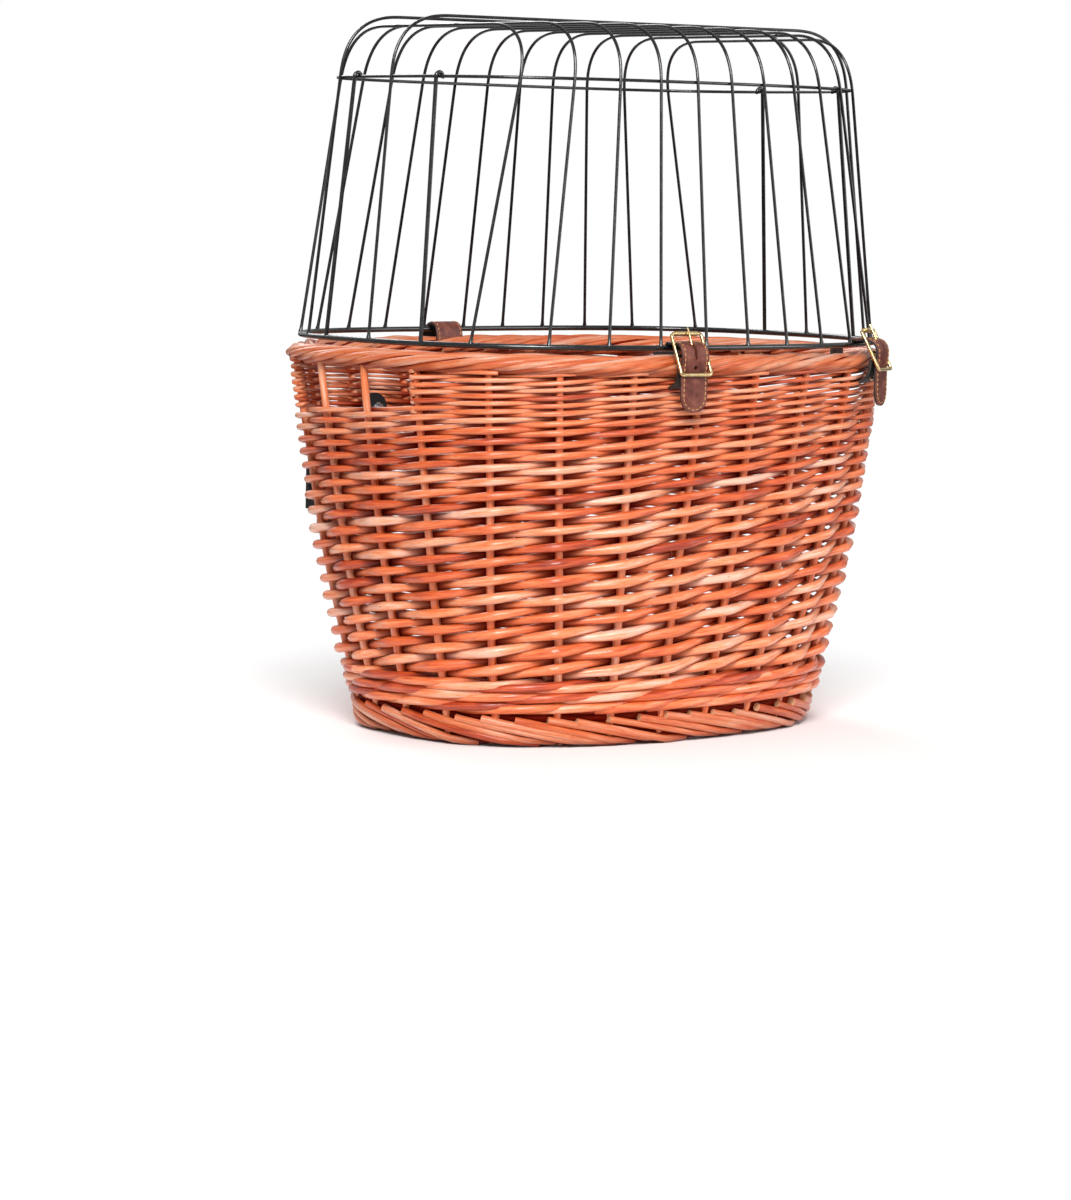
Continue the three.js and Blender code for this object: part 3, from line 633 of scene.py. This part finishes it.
def weaver(bands, lineage, start, end, tone):
    """One rod that climbs past a stake a row, in front of one and behind the next."""
    overrun = 0.16
    t = np.concatenate([[start - overrun], np.arange(start, end, 1 / 8), [end, end + overrun]])
    height = row_height(t)
    gauge = by_height(height, ROD_RADIUS) * np.linspace(1.06, 0.9, len(t)) * (1 + wander(len(t), 0.03))
    gauge = gauge * (0.92 + 0.08 * np.cos(2 * np.pi * (lineage + t - THICK_SIDE) / STAKES))
    reach = STAKE_RADIUS + 0.85 * gauge
    swing = np.arcsin(-SHARPNESS * np.cos(np.pi * t)) / math.asin(SHARPNESS)
    out = reach * swing + wander(len(t), 0.25)
    place = lineage + t
    rise = height + wander(len(t), 0.3) + 0.5 * np.sin(2.1 * place + 0.02 * height)
    radius = gauge * (0.78 + 0.22 * np.abs(swing))
    strand = np.stack([place, rise, out, radius])
    head, body, tail = strand[:, :2], strand[:, 2:-2], strand[:, -2:]
    if ends_at_hole(lineage, start, HOLE_BAYS):
        head = turn_back(strand[:, 1], -1)[:, ::-1]
    if ends_at_hole(lineage, end, 0):
        tail = turn_back(strand[:, -2], 1)
    place, rise, out, radius = np.hstack([head, body, tail])
    points, normals = on_wall(place, rise, out)
    # The further a rod swings in behind the stakes, the more painted shade it gets.
    bury = np.clip(0.42 - 0.62 * out / (STAKE_RADIUS + by_height(rise, ROD_SWING)), 0, 1)
    middle = row_height((start + end) / 2)
    band = int((middle - WEAVE_LOW) / (WEAVE_HIGH - WEAVE_LOW) * WEAVE_BANDS)
    bands[min(band, WEAVE_BANDS - 1)].add(points, radius, side=normals, tone=tone, bury=bury)


def weave_wall():
    """One family of rods starts at each stake, and each rod takes over where the last one ends."""
    bands = [Rods(sides=8) for _ in range(WEAVE_BANDS)]
    for lineage in range(STAKES):
        start = 0
        while start < ROWS:
            end = min(ROWS, start + 2 * int(random.integers(4, 8)))
            tone = pick_tone() + (0.07 if lineage % 2 else -0.07)
            for a, b in window_cuts(lineage, start, end):
                if b - a > 0.5:
                    weaver(bands, lineage, a, b, tone)
            start = end
    for i, band in enumerate(bands, start=1):
        nodes = ("wicker_wall",) if i == 1 else ()
        band.build(f"wall_weave_{i}", willow, "basket", "wicker", *nodes)


def add_stakes():
    """The upright rods. They pass through the hand holes, where they are bare."""
    rods = Rods(sides=10)
    for number in range(STAKES):
        z = np.linspace(8, RIM_LOW[2] + 6, 40)
        sway = number + wander(len(z), 0.02)
        points, normals = on_wall(sway, z, wander(len(z), 0.25))
        radius = np.linspace(3.1, 2.6, len(z))
        rods.add(points, radius, side=normals, tone=0.45 + 0.3 * random.random(), bury=0.3)
    nodes = [f"hand_stake_{hand}_{i}" for hand in HANDS for i in (1, 2)]
    rods.build("stakes", willow, "basket", "stake", *nodes)


WALE_ROUNDS = 3
WALE_LOW = 28.5
WALE_PITCH = 7.2


def add_waling():
    """Three rounds of three-rod wale: each stroke passes outside two stakes, then inside one."""
    rods = Rods(sides=8)
    reach = STAKE_RADIUS + 3.0
    length = STAKES // 3
    overrun = 0.3
    for level in range(WALE_ROUNDS):
        for thread in range(3):
            for start in range(0, STAKES, length):
                t = np.linspace(start - overrun, start + (length + overrun), 100)
                place = t + thread + 0.5 * level
                phase = (t / 3) % 1
                out = reach * (0.3 - 1.05 * np.cos(2 * np.pi * phase)) / 1.35
                height = WALE_LOW + WALE_PITCH * (level + np.interp(
                    phase, [0, 0.12, 0.88, 1], [0, -0.42, 0.42, 0])) + wander(len(t), 0.25)
                points, normals = on_wall(place, height, out)
                radius = 3.1 * (1 + wander(len(t), 0.04)) * np.linspace(1.05, 0.92, len(t))
                # Strokes get more painted shade the further inside the stakes they pass.
                rods.add(points, radius, side=normals, tone=pick_tone() * 0.85,
                         bury=np.clip(0.55 - out / 10, 0, 1))
    rods.build("foot_waling", willow, "basket", "wicker")


def add_foot_border():
    """Rods laid down from each stake, one over the other, that run under the foot of the basket."""
    rods = Rods(sides=10)
    amount = 43
    outline = Plan(FOOT_HIGH[0], FOOT_HIGH[1])
    for number in range(amount):
        t = np.linspace(0, 1, 26)
        length = random.uniform(2.1, 2.7) / STAKES
        u = number / amount + length * t + random.normal() * 0.002
        z = np.interp(t, [0, 0.35, 0.75, 1], [19.5, 13.0, 5.0, 3.0]) + random.normal() * 0.5
        out = np.interp(t, [0, 0.15, 0.5, 0.8, 1], [-1.6, -2.2, -3.2, -5.0, -9.0])
        points, normals = outline.at(u, np.maximum(z, 3.0), 0, out)
        radius = np.linspace(3.0, 2.4, len(t)) * random.uniform(0.8, 1.1)
        # Painted shade grows along each rod as it runs in under the foot.
        bury = np.clip(0.5 + 0.8 * (t - 0.5), 0.58, 1)
        rods.add(points, radius, side=normals, tone=0.8 * pick_tone() + 0.2, bury=bury)
    for inset, z, radius in ((8.5, 14.0, 4.6), (10.5, 6.5, 4.4), (7.5, 21.0, 3.6)):
        u = np.linspace(0, 1, 145)[:-1]
        points, normals = outline.at(u, z, 0, -inset)
        # Core rods hidden in the border, all in painted shade.
        rods.add(points, radius, side=normals, closed=True, tone=0.3, bury=1.0)
    rods.build("foot_border_rods", willow, "basket", "wicker", "foot_border")


def add_rim_border():
    """A rolled border: each rod winds over the rim from the outside to the inside."""
    rods = Rods(sides=10)
    half_height = 7.6
    half_width = 12.0
    gauge = 2.6
    middle_z = RIM_HIGH[2] - half_height
    outline = Plan(RIM_HIGH[0] - half_width, RIM_HIGH[1] - half_width)
    amount = 55
    turn_share = 0.17
    for number in range(amount):
        t = np.linspace(0, 1, 64)
        roll = np.radians(-135 + 350 * t) + wander(len(t), 0.1)
        size = gauge * random.uniform(0.8, 1.15) * np.interp(t, [0, 0.15, 1], [0.9, 1.05, 0.8])
        lift = 1 + wander(len(t), 0.06) + random.uniform(-0.12, 0.03)
        out = (half_width - gauge) * np.cos(roll) * lift
        z = middle_z + (half_height - gauge) * np.sin(roll) * lift
        u = (number + random.normal() * 0.2) / amount + turn_share * t
        points, normals = outline.at(u, z, 0, out)
        # Painted shade on every rod, more on the roll's underside.
        rods.add(points, size, side=normals, tone=pick_tone() * 0.7 + 0.26,
                 bury=np.clip(0.3 - np.sin(roll), 0.55, 0.8))
    for out in (-4.5, 0, 4.5):
        points, normals = outline.at(np.linspace(0, 1, 145)[:-1], middle_z, 0, out)
        # Core rods in full painted shade.
        rods.add(points, 4.4, side=normals, closed=True, tone=0.3, bury=1.0)
    rods.build("rim_border_rods", willow, "basket", "wicker", "rim_border")


def add_base():
    """A plain-woven base: thick sticks from front to back, with thinner rods woven across them."""
    rods = Rods(sides=8)
    outline = Plan(BASE_HIGH[0] + 6, BASE_HIGH[1] + 6)
    stick_pitch = 38.0
    sticks_each_side = 4
    middle = 6.4
    for number in range(-sticks_each_side, sticks_each_side + 1):
        x = number * stick_pitch
        y = np.linspace(outline.edge_y(x, -1), outline.edge_y(x, 1), 24)
        path = np.stack([np.full(24, x) + wander(24, 0.6), y, np.full(24, middle)], axis=-1)
        rods.add(path, 3.4, tone=pick_tone(), bury=0.5)
    pitch = 5.6
    rows = int(outline.size[1] / pitch) - 1
    for row in range(-rows, rows + 1):
        y = row * pitch
        x = np.linspace(outline.edge_x(y, -1), outline.edge_x(y, 1), 90)
        swing = np.cos(np.pi * (x / stick_pitch + row))
        path = np.stack([x, y + wander(90, 0.3), middle + 2.9 * swing], axis=-1)
        rods.add(path, 2.75 * random.uniform(0.92, 1.05), tone=pick_tone(), bury=0.55)
    # The base takes painted shade from its rods' values and from the darker inside copy of the willow.
    rods.build("base_weave", willow_shaded_inside, "basket", "wicker", "wicker_base")


# ---------------- wire cage
ring_plan = Plan(RING_HIGH[0] - RING_WIRE, RING_HIGH[1] - RING_WIRE)
upper_plan = Plan(UPPER_HIGH[0] - WIRE, UPPER_HIGH[1] - WIRE)
RING_Z = (RING_LOW[2] + RING_HIGH[2]) / 2
UPPER_Z = (UPPER_LOW[2] + UPPER_HIGH[2]) / 2
hoop_plan = Plan(upper_plan.size[0] + 2 * SEEN_WIRE, upper_plan.size[1] + 2 * SEEN_WIRE)
CAGE_BEND = 40
BEND_STEPS = 14
FOOT_LIFT = 1.2
CROSS_HOOPS = 11
# Where each long hoop stands at the ring's right and left ends, which isn't quite square.
LONG_HOOP_FEET = {"long_hoop_front": (0, -68), "long_hoop_back": (78, 6)}
CORNER_WIRE_FEET = {"front": -50, "back": 50}


def build_wire(name, path, radius, closed=False, side=None):
    rods = Rods(sides=12, girth=10)
    rods.add(path, radius, closed=closed, side=side)
    rods.build(name + "_wire", black_wire, "cage", "black_wire", name)


def add_rings():
    u = np.linspace(0, 1, 289)[:-1]
    for name, plan, z, radius in (("cage_base_ring", ring_plan, RING_Z, SEEN_RING_WIRE),
                                  ("cage_upper_ring", upper_plan, UPPER_Z, SEEN_WIRE)):
        points, normals = plan.at(u, z)
        build_wire(name, points, radius, closed=True, side=normals)


def build_hoop(name, feet, shoulders):
    """A wire from foot to foot, past the upper ring and over the top. It swells at its welded feet."""
    feet, shoulders = np.array(feet), np.array(shoulders)
    share = (box(name)[1][2] - WIRE - feet[:, 2:]) / (shoulders - feet)[:, 2:]
    bends = feet + (shoulders - feet) * share
    path = rounded([feet[0], *bends, feet[1]], CAGE_BEND, BEND_STEPS)
    path = smooth(resample(path, 7.0), 2)
    reach = np.minimum(np.linalg.norm(path - path[0], axis=1), np.linalg.norm(path - path[-1], axis=1))
    build_wire(name, path, SEEN_WIRE * (1 + 0.55 * np.exp(-(reach / 2.2) ** 2)))


def add_cross_hoops():
    for number in range(1, CROSS_HOOPS + 1):
        name = f"cross_hoop_{number:02d}"
        low, high = box(name)
        left, right = low[0] + WIRE, high[0] - WIRE
        foot_x, top_x = (left, right) if abs(left) > abs(right) else (right, left)
        feet = [(foot_x, ring_plan.edge_y(foot_x, side), RING_Z + FOOT_LIFT) for side in (-1, 1)]
        shoulders = [(top_x, hoop_plan.edge_y(top_x, side), UPPER_Z) for side in (-1, 1)]
        build_hoop(name, feet, shoulders)


def add_long_hoops():
    squeeze = hoop_plan.size[1] / ring_plan.size[1]
    for name, ys in LONG_HOOP_FEET.items():
        sides = list(zip((-1, 1), ys))
        feet = [(ring_plan.edge_x(y, side), y, RING_Z + FOOT_LIFT) for side, y in sides]
        shoulders = [(hoop_plan.edge_x(y * squeeze, side), y * squeeze, UPPER_Z) for side, y in sides]
        build_hoop(name, feet, shoulders)


def add_corner_wires():
    """Wires near the corners that stand on the base ring and hook over the upper ring."""
    for hand, side in (("right", -1), ("left", 1)):
        for end, y in CORNER_WIRE_FEET.items():
            name = f"corner_wire_{end}_{hand}"
            y_high = y * hoop_plan.size[1] / ring_plan.size[1]
            foot = np.array([ring_plan.edge_x(y, side), y, RING_Z + FOOT_LIFT])
            eye = np.array([upper_plan.edge_x(y_high, side), y_high, UPPER_Z])
            reach = SEEN_CORNER_WIRE + SEEN_WIRE + 0.2
            angle = np.linspace(-0.2, 1.15 * np.pi, 14)[:, None]
            hook = eye + np.hstack([side * reach * np.cos(angle), 0 * angle, reach * np.sin(angle)])
            path = np.vstack([resample(np.vstack([foot, hook[0]]), 12.0)[:-1], hook])
            build_wire(name, path, SEEN_CORNER_WIRE)


# ---------------- leather, in a strap's own frame
class Closure:
    """The frame of one leather loop: across along the wire it wraps, out from the basket, and up."""

    def __init__(self, origin, across):
        self.origin = np.array(origin) / MM
        self.across = np.array(across, float)
        self.out = np.cross(self.across, [0, 0, 1])

    def place(self, points):
        """Local (across, back, up) points, with the basket's inside at +back, in the basket's frame."""
        points = np.asarray(points, float)
        return (self.origin + points[..., :1] * self.across - points[..., 1:2] * self.out
                + points[..., 2:3] * np.array([0, 0, 1.0]))


# Half a strap's section, from its middle to its edge: how far across, and how high its finished
# face and its lining stand. The dip near the edge is the groove for the stitches.
SECTION_ACROSS = (0, 0.4, 0.74, 0.8, 0.86, 0.93, 0.985, 1)
SECTION_FACE = (1.05, 1.03, 1.0, 0.86, 1.0, 0.98, 0.75, 0.35)
SECTION_LINING = (1, 1, 1, 1, 1, 1, 0.85, 0.45)


def mirrored(half, sign=1):
    """A whole section's values, from the half on one side of its middle."""
    return np.array([sign * value for value in half[:0:-1]] + list(half), float)


class Strap:
    """A leather strip along a line in its closure's plane, with a rounded, grooved section."""

    def __init__(self, closure, line, width, closed=False, tip=False):
        self.closure = closure
        self.half = width / 2
        self.closed = closed
        self.tip = tip
        self.line = resample(smooth(line, 7, closed), 0.9)
        if closed:
            self.line = self.line[:-1]
        along = distances(self.line, closed)
        self.along = along[:len(self.line)]
        self.length = along[-1]
        tangent = directions(self.line, closed)
        self.normal = np.stack([-tangent[:, 1], tangent[:, 0]], axis=-1)

    def half_width(self, along):
        if not self.tip:
            return np.full_like(along, self.half)
        short = np.clip(self.half - (self.length - along), 0, self.half)
        return np.sqrt(np.maximum(self.half ** 2 - short ** 2, 0.01))

    def surface(self, across, along, height):
        """The point at a distance along and across the strap, height beyond its middle."""
        place = np.stack([np.interp(along, self.along, self.line[:, i]) for i in (0, 1)], axis=-1)
        normal = np.stack([np.interp(along, self.along, self.normal[:, i]) for i in (0, 1)], axis=-1)
        lifted = place + normal * np.asarray(height)[..., None]
        return self.closure.place(np.concatenate([np.asarray(across)[..., None], lifted], axis=-1))

    def build(self, name, face_material, lining_material, body, slot, node):
        """Makes the strip, with its finished face on the side that the normal points away from."""
        across = mirrored(SECTION_ACROSS, -1)
        face = np.stack([across, -mirrored(SECTION_FACE)], -1)
        lining = np.stack([across, mirrored(SECTION_LINING)], -1)[::-1]
        section = np.concatenate([face, lining])
        count = len(section)
        rows = len(self.line)
        grid_across = self.half_width(self.along)[:, None] * section[None, :, 0]
        grid_along = np.broadcast_to(self.along[:, None], grid_across.shape)
        grid_height = np.broadcast_to(section[None, :, 1] * LEATHER / 2, grid_across.shape)
        points = self.surface(grid_across, grid_along, grid_height)
        faces = []
        slots = []
        for i in range(rows if self.closed else rows - 1):
            for j in range(count):
                here, following = i * count, (i + 1) % rows * count
                beside = (j + 1) % count
                faces.append((following + j, following + beside, here + beside, here + j))
                slots.append(0 if j < len(across) - 1 else 1)
        if not self.closed:
            faces.append(list(range(count)))
            faces.append(list(range((rows - 1) * count, rows * count))[::-1])
            slots += [1, 1]
        piece = add_object(name, points.reshape(-1, 3), faces, face_material, lining_material)
        piece.data.polygons.foreach_set("material_index", slots)
        piece.data.shade_smooth()
        piece.data.set_sharp_from_angle(angle=math.radians(50))
        finish_piece(piece, body, slot, node)
        return piece

    def stitch(self, name, body, start=0.0, inset=2.0):
        """Thread along both edges, and round the tip if there is one, in its groove."""
        thread = Rods(sides=6, girth=3)
        reach = self.half - inset
        if self.tip:
            turn = np.linspace(0, np.pi, 30)
            bend = self.length - self.half
            across = np.concatenate([[reach], reach * np.cos(turn), [-reach]])
            along = np.concatenate([[start], bend + reach * np.sin(turn), [start]])
            lines = [np.stack([across, along], -1)]
        else:
            lines = [np.array([[side * reach, start], [side * reach, self.length]]) for side in (-1, 1)]
        for line in lines:
            marks = resample(line, 1.15)
            for i in range(0, len(marks) - 2, 3):
                dash = np.linspace(marks[i], marks[i + 2], 5)
                height = -LEATHER / 2 * 0.9 - np.array([-0.35, 0.12, 0.22, 0.12, -0.35])
                thread.add(self.surface(dash[:, 0], dash[:, 1], height), THREAD_RADIUS)
        thread.build(name, tan_thread, body, "brown_leather")


def punch(piece, closure, low, high, radius):
    """Cuts an oblong hole, or a round one if low and high are the same, through a hanging strap."""
    turn = np.linspace(0, np.pi, 12)
    top = np.stack([radius * np.cos(turn), high + radius * np.sin(turn)], -1)
    bottom = np.stack([-radius * np.cos(turn), low - radius * np.sin(turn)], -1)
    outline = np.vstack([top, bottom])
    count = len(outline)
    near, far = -26.0, -8.0
    points = [(x, back, z) for back in (near, far) for x, z in outline]
    faces = [[i, (i + 1) % count, count + (i + 1) % count, count + i] for i in range(count)]
    faces += [list(range(count))[::-1], list(range(count, 2 * count))]
    tool = add_object("punch", closure.place(points), faces)
    tidy_normals(tool.data)
    cut = piece.modifiers.new("hole", "BOOLEAN")
    cut.operation = "DIFFERENCE"
    cut.object = tool
    bpy.context.view_layer.update()
    evaluated = piece.evaluated_get(bpy.context.evaluated_depsgraph_get())
    piece.data = bpy.data.meshes.new_from_object(evaluated)
    piece.modifiers.clear()
    bpy.data.objects.remove(tool)


def tidy_normals(mesh):
    """Joins vertices at the same place and turns every face outwards."""
    work = bmesh.new()
    work.from_mesh(mesh)
    bmesh.ops.remove_doubles(work, verts=work.verts, dist=1e-6)
    bmesh.ops.recalc_face_normals(work, faces=work.faces)
    work.to_mesh(mesh)
    work.free()


# ---------------- closures and hinge loop
BUCKLE_CENTRE = np.array([-14.0, -5.0])
BUCKLE_TOP = np.array([-6.0, 10.0])
BUCKLE_LOW = np.array([-20.0, -17.0])
BUCKLE_HALF = 12.2
BUCKLE_WIRE = 1.25
PRONG_WIRE = 0.8
THREAD_RADIUS = 0.36
STRAP_WIDTH = 21.4
ANCHOR_WIDTH = 21
HINGE_WIDTH = 24
STRAP_DROP = 43
WRAP = SEEN_RING_WIRE + 0.6 + LEATHER / 2
RIVET_PROFILE = ((0.0, 2.9), (1.2, 2.85), (2.3, 2.5), (2.9, 1.9), (3.0, 1.2), (2.4, 1.1), (0.0, 1.1))
# Lowest centre, highest centre and radius of each hole in a belt's end.
SPARE_HOLE = (-12.5, -12.5, 1.35)
PRONG_SLOT = (-6.2, 4.2, 1.05)


def add_tail(closure, hand):
    """The brown end of a belt: over the ring's wire, out through the buckle and down the front."""
    angles = np.radians([30, 60, 90, 115])
    wrap = [(WRAP * math.cos(a), WRAP * math.sin(a)) for a in angles]
    hang = [(-6.5, 3.7), (-11.5, 3.2), (-15.2, 1.6), (-17.5, -1.8), (-18.0, -6),
            (-17.5, -12), (-17, -18), (-17, -30), (-17, -STRAP_DROP)]
    strap = Strap(closure, wrap + hang, STRAP_WIDTH, tip=True)
    name = f"strap_tail_{hand}"
    body = f"strap_{hand}"
    piece = strap.build(name + "_leather", brown_leather, dark_leather, body, "brown_leather", name)
    punch(piece, closure, *SPARE_HOLE)
    punch(piece, closure, *PRONG_SLOT)
    strap.stitch(name + "_stitches", body, start=6.0)


def add_anchor(closure, hand):
    """The dark part of a belt: down the inside, out through the wall and up to the buckle."""
    line = [(16.8, -3), (16.8, -14), (16.0, -22), (12.5, -26), (6, -27), (-2, -26.6),
            (-7.5, -24.8), (-11, -20.8), (-12.5, -15.5), (-12.8, -10.4)]
    strap = Strap(closure, line, ANCHOR_WIDTH)
    name = f"anchor_strap_{hand}"
    strap.build(name + "_leather", dark_leather, dark_leather, "basket", "dark_leather", name)
    rivet = turned(RIVET_PROFILE, closure, (0, -8.6, -22.4), f"anchor_rivet_{hand}_head", brass)
    finish_piece(rivet, "basket", "brass", f"anchor_rivet_{hand}")


def turned(profile, closure, centre, name, material, steps=28):
    """A shape turned about an axis that points out of the basket. The profile lists (radius, outward)."""
    angles = np.arange(steps) * 2 * np.pi / steps
    points = [[r * math.cos(a) + centre[0], centre[1] - out, r * math.sin(a) + centre[2]]
              for r, out in profile for a in angles]
    faces = []
    for i in range(len(profile) - 1):
        for j in range(steps):
            k = (j + 1) % steps
            faces.append([i * steps + j, i * steps + k, (i + 1) * steps + k, (i + 1) * steps + j])
    piece = add_object(name, closure.place(points), faces, material)
    piece.data.shade_smooth()
    tidy_normals(piece.data)
    return piece


def add_buckle(closure, hand):
    """A double-bar frame: a top bar, a centre bar and a keeper bar, joined by bent side arms."""
    name = f"buckle_frame_{hand}"
    rods = Rods(sides=14, girth=9)
    middle = (0.0, *BUCKLE_TOP)
    left = [(BUCKLE_HALF, *place) for place in (BUCKLE_TOP, BUCKLE_CENTRE, BUCKLE_LOW)]
    right = [(-BUCKLE_HALF, *place) for place in (BUCKLE_LOW, BUCKLE_CENTRE, BUCKLE_TOP)]
    loop = rounded([middle, *left, *right, middle], 2.4)[:-1]
    rods.add(closure.place(loop), BUCKLE_WIRE, closed=True)
    bar = [(x, *BUCKLE_CENTRE) for x in (-BUCKLE_HALF, BUCKLE_HALF)]
    rods.add(closure.place(bar), BUCKLE_WIRE * 0.95)
    roller = [(x, *BUCKLE_TOP) for x in (-BUCKLE_HALF * 0.74, BUCKLE_HALF * 0.74)]
    rods.add(closure.place(roller), BUCKLE_WIRE * 1.4)
    rods.build(name + "_bars", brass, f"strap_{hand}", "brass", name)


def add_prong(closure, hand):
    """The prong curls round the centre bar, comes up through the strap and rests on the top bar."""
    along = BUCKLE_TOP - BUCKLE_CENTRE
    length = np.linalg.norm(along)
    along = along / length
    out = np.array([-along[1], along[0]])
    reach = BUCKLE_WIRE + 0.3 + PRONG_WIRE
    curl = [BUCKLE_CENTRE + reach * (math.cos(a) * out + math.sin(a) * along)
            for a in np.radians(np.linspace(-210, 0, 12))]
    shank = [BUCKLE_CENTRE + (reach + 1.1) * out + along * length * 0.97,
             BUCKLE_CENTRE + (reach + 1.0) * out + along * (length + 3)]
    path = [(0, *place) for place in np.vstack([curl, shank])]
    rods = Rods(sides=12, girth=6)
    taper_off = np.interp(np.arange(len(path)), [0, len(path) - 2, len(path) - 1], [1.15, 1.0, 0.75])
    rods.add(closure.place(path), PRONG_WIRE * taper_off, flat=1.2)
    name = f"buckle_prong_{hand}"
    rods.build(name + "_wire", brass, f"prong_{hand}", "brass", name)


def add_closures():
    for hand in HANDS:
        joint = JOINTS[f"strap_swing_{hand}"]
        closure = Closure(joint["pos_m"], -np.array(joint["axis"]))
        add_tail(closure, hand)
        add_anchor(closure, hand)
        add_buckle(closure, hand)
        add_prong(closure, hand)


def add_hinge_loop():
    """The brown leather loop that holds the cage's rear wire to the rim, with its seam inside."""
    closure = Closure(JOINTS["cage_hinge"]["pos_m"], (-1, 0, 0))
    line = [(0, 4.4), (-3.6, 3.4), (-8.6, -1.0), (-11.8, -7), (-11.8, -19), (-10.6, -24.4),
            (-6.5, -26.6), (0, -26.6), (4.5, -25), (6.8, -20), (7.4, -12), (7.2, -4),
            (5.2, 1.6), (2.6, 3.8)]
    strap = Strap(closure, line, HINGE_WIDTH, closed=True)
    strap.build("hinge_loop_leather", brown_leather, dark_leather, "basket", "brown_leather", "hinge_strap")
    strap.stitch("hinge_loop_stitches", "basket")


# ---------------- bracket and clamps
def finish_node(name, material, bevel):
    """Gives a carried-over CAD node its material and soft edges."""
    node = frame["nodes"][name]
    for slot in node.material_slots:
        slot.material = material
    edge = node.modifiers.new("soft_edges", "BEVEL")
    edge.width = bevel * MM
    edge.segments = 2
    edge.limit_method = "ANGLE"
    edge.angle_limit = math.radians(35)


def finish_bracket():
    """The bracket, clamps and fixings keep their CAD shapes."""
    finish_node("bracket_frame", black_steel, 0.5)
    for hand in HANDS:
        finish_node(f"inner_plate_{hand}", black_steel, 0.5)
        finish_node(f"clamp_cap_{hand}", black_steel, 0.5)
        finish_node(f"clamp_liner_{hand}", rubber, 0.3)
        for kind in ("clamp_bolt_upper", "clamp_bolt_lower", "wall_bolt", "wall_nut"):
            finish_node(f"{kind}_{hand}", zinc_steel, 0.25)


# ---------------- studio
# The camera looks from the basket's right front corner, a little above the rim. The distances and
# the aim's shift along the picture are metres.
CAMERA_TURN = math.radians(-40)
CAMERA_RISE = math.radians(5.8)
CAMERA_ROLL = math.radians(1.2)
CAMERA_DISTANCE = 3.0211
CAMERA_SHIFT = (-0.0408, 0.0662)
CAMERA_AIM_HEIGHT = 0.0216
CAMERA_LENS = 125.86
WORLD_LIGHT = 0.46
FLOOR_REACH = 8000


def add_camera():
    back = Vector((math.sin(CAMERA_TURN) * math.cos(CAMERA_RISE),
                   -math.cos(CAMERA_TURN) * math.cos(CAMERA_RISE), math.sin(CAMERA_RISE)))
    level = Vector((math.cos(CAMERA_TURN), math.sin(CAMERA_TURN), 0))
    upright = back.cross(level)
    right = math.cos(CAMERA_ROLL) * level + math.sin(CAMERA_ROLL) * upright
    up = math.cos(CAMERA_ROLL) * upright - math.sin(CAMERA_ROLL) * level
    aim = CAMERA_SHIFT[0] * right + CAMERA_SHIFT[1] * up + Vector((0, 0, CAMERA_AIM_HEIGHT))
    camera = place_in_scene("camera", bpy.data.cameras.new("camera"))
    camera.data.lens = CAMERA_LENS
    camera.data.clip_end = 20
    turn = Matrix((right, up, back)).transposed().to_4x4()
    camera.matrix_world = Matrix.Translation(aim + CAMERA_DISTANCE * back) @ turn
    bpy.context.scene.camera = camera


def add_lamp(name, place, size, power):
    """A soft lamp that points at the middle of the basket. Places and sizes are in metres."""
    lamp = place_in_scene(name, bpy.data.lights.new(name, "AREA"))
    lamp.data.size = size
    lamp.data.energy = power
    lamp.location = place
    lamp.rotation_euler = (Vector(place) - Vector((0, 0, 0.25))).to_track_quat("Z", "Y").to_euler()


def floor_material():
    """A matt white floor that fades into the white backdrop away from the basket."""
    n = Nodes("pale_floor")
    distance = n.node("VectorMath", {0: n.position()}, operation="LENGTH").outputs["Value"]
    fade = n.fit(distance, 0.35, 1.3)
    seen = n.node("LightPath").outputs["Is Camera Ray"]
    n.set(Base_Color=n.mix(fade, rgb("f6f6f6"), rgb("000000")), Roughness=0.9, Specular_IOR_Level=0.1,
          Emission_Color=rgb("ffffff"), Emission_Strength=n.math("MULTIPLY", fade, seen))
    return n.material


def add_floor():
    corners = [(x * FLOOR_REACH, y * FLOOR_REACH, 0) for x, y in ((-1, -1), (1, -1), (1, 1), (-1, 1))]
    floor = add_object("floor", corners, [(0, 1, 2, 3)], floor_material())
    floor.location.z = cad_low.z


def add_world():
    """White light from all round, dimmer than the white backdrop that the camera sees."""
    world = bpy.data.worlds.new("studio")
    world.use_nodes = True
    tree = world.node_tree
    seen = tree.nodes.new("ShaderNodeLightPath").outputs["Is Camera Ray"]
    strength = tree.nodes.new("ShaderNodeMapRange")
    strength.inputs["To Min"].default_value = WORLD_LIGHT
    strength.inputs["To Max"].default_value = 1.0
    tree.links.new(seen, strength.inputs["Value"])
    tree.nodes["Background"].inputs["Color"].default_value = (1, 1, 1, 1)
    tree.links.new(strength.outputs["Result"], tree.nodes["Background"].inputs["Strength"])
    bpy.context.scene.world = world


def add_studio():
    bpy.context.scene.view_settings.view_transform = "Standard"
    add_floor()
    add_world()
    add_lamp("key", (-2.0, -2.4, 2.3), 1.4, 143)
    add_lamp("fill", (1.8, -2.0, 1.0), 1.4, 20)
    add_lamp("rear", (0.6, 2.4, 2.0), 1.6, 40)


# ---------------- assembly
weave_wall()
add_stakes()
add_waling()
add_foot_border()
add_rim_border()
add_base()
add_rings()
add_cross_hoops()
add_long_hoops()
add_corner_wires()
add_closures()
add_hinge_loop()
finish_bracket()
add_studio()
add_camera()
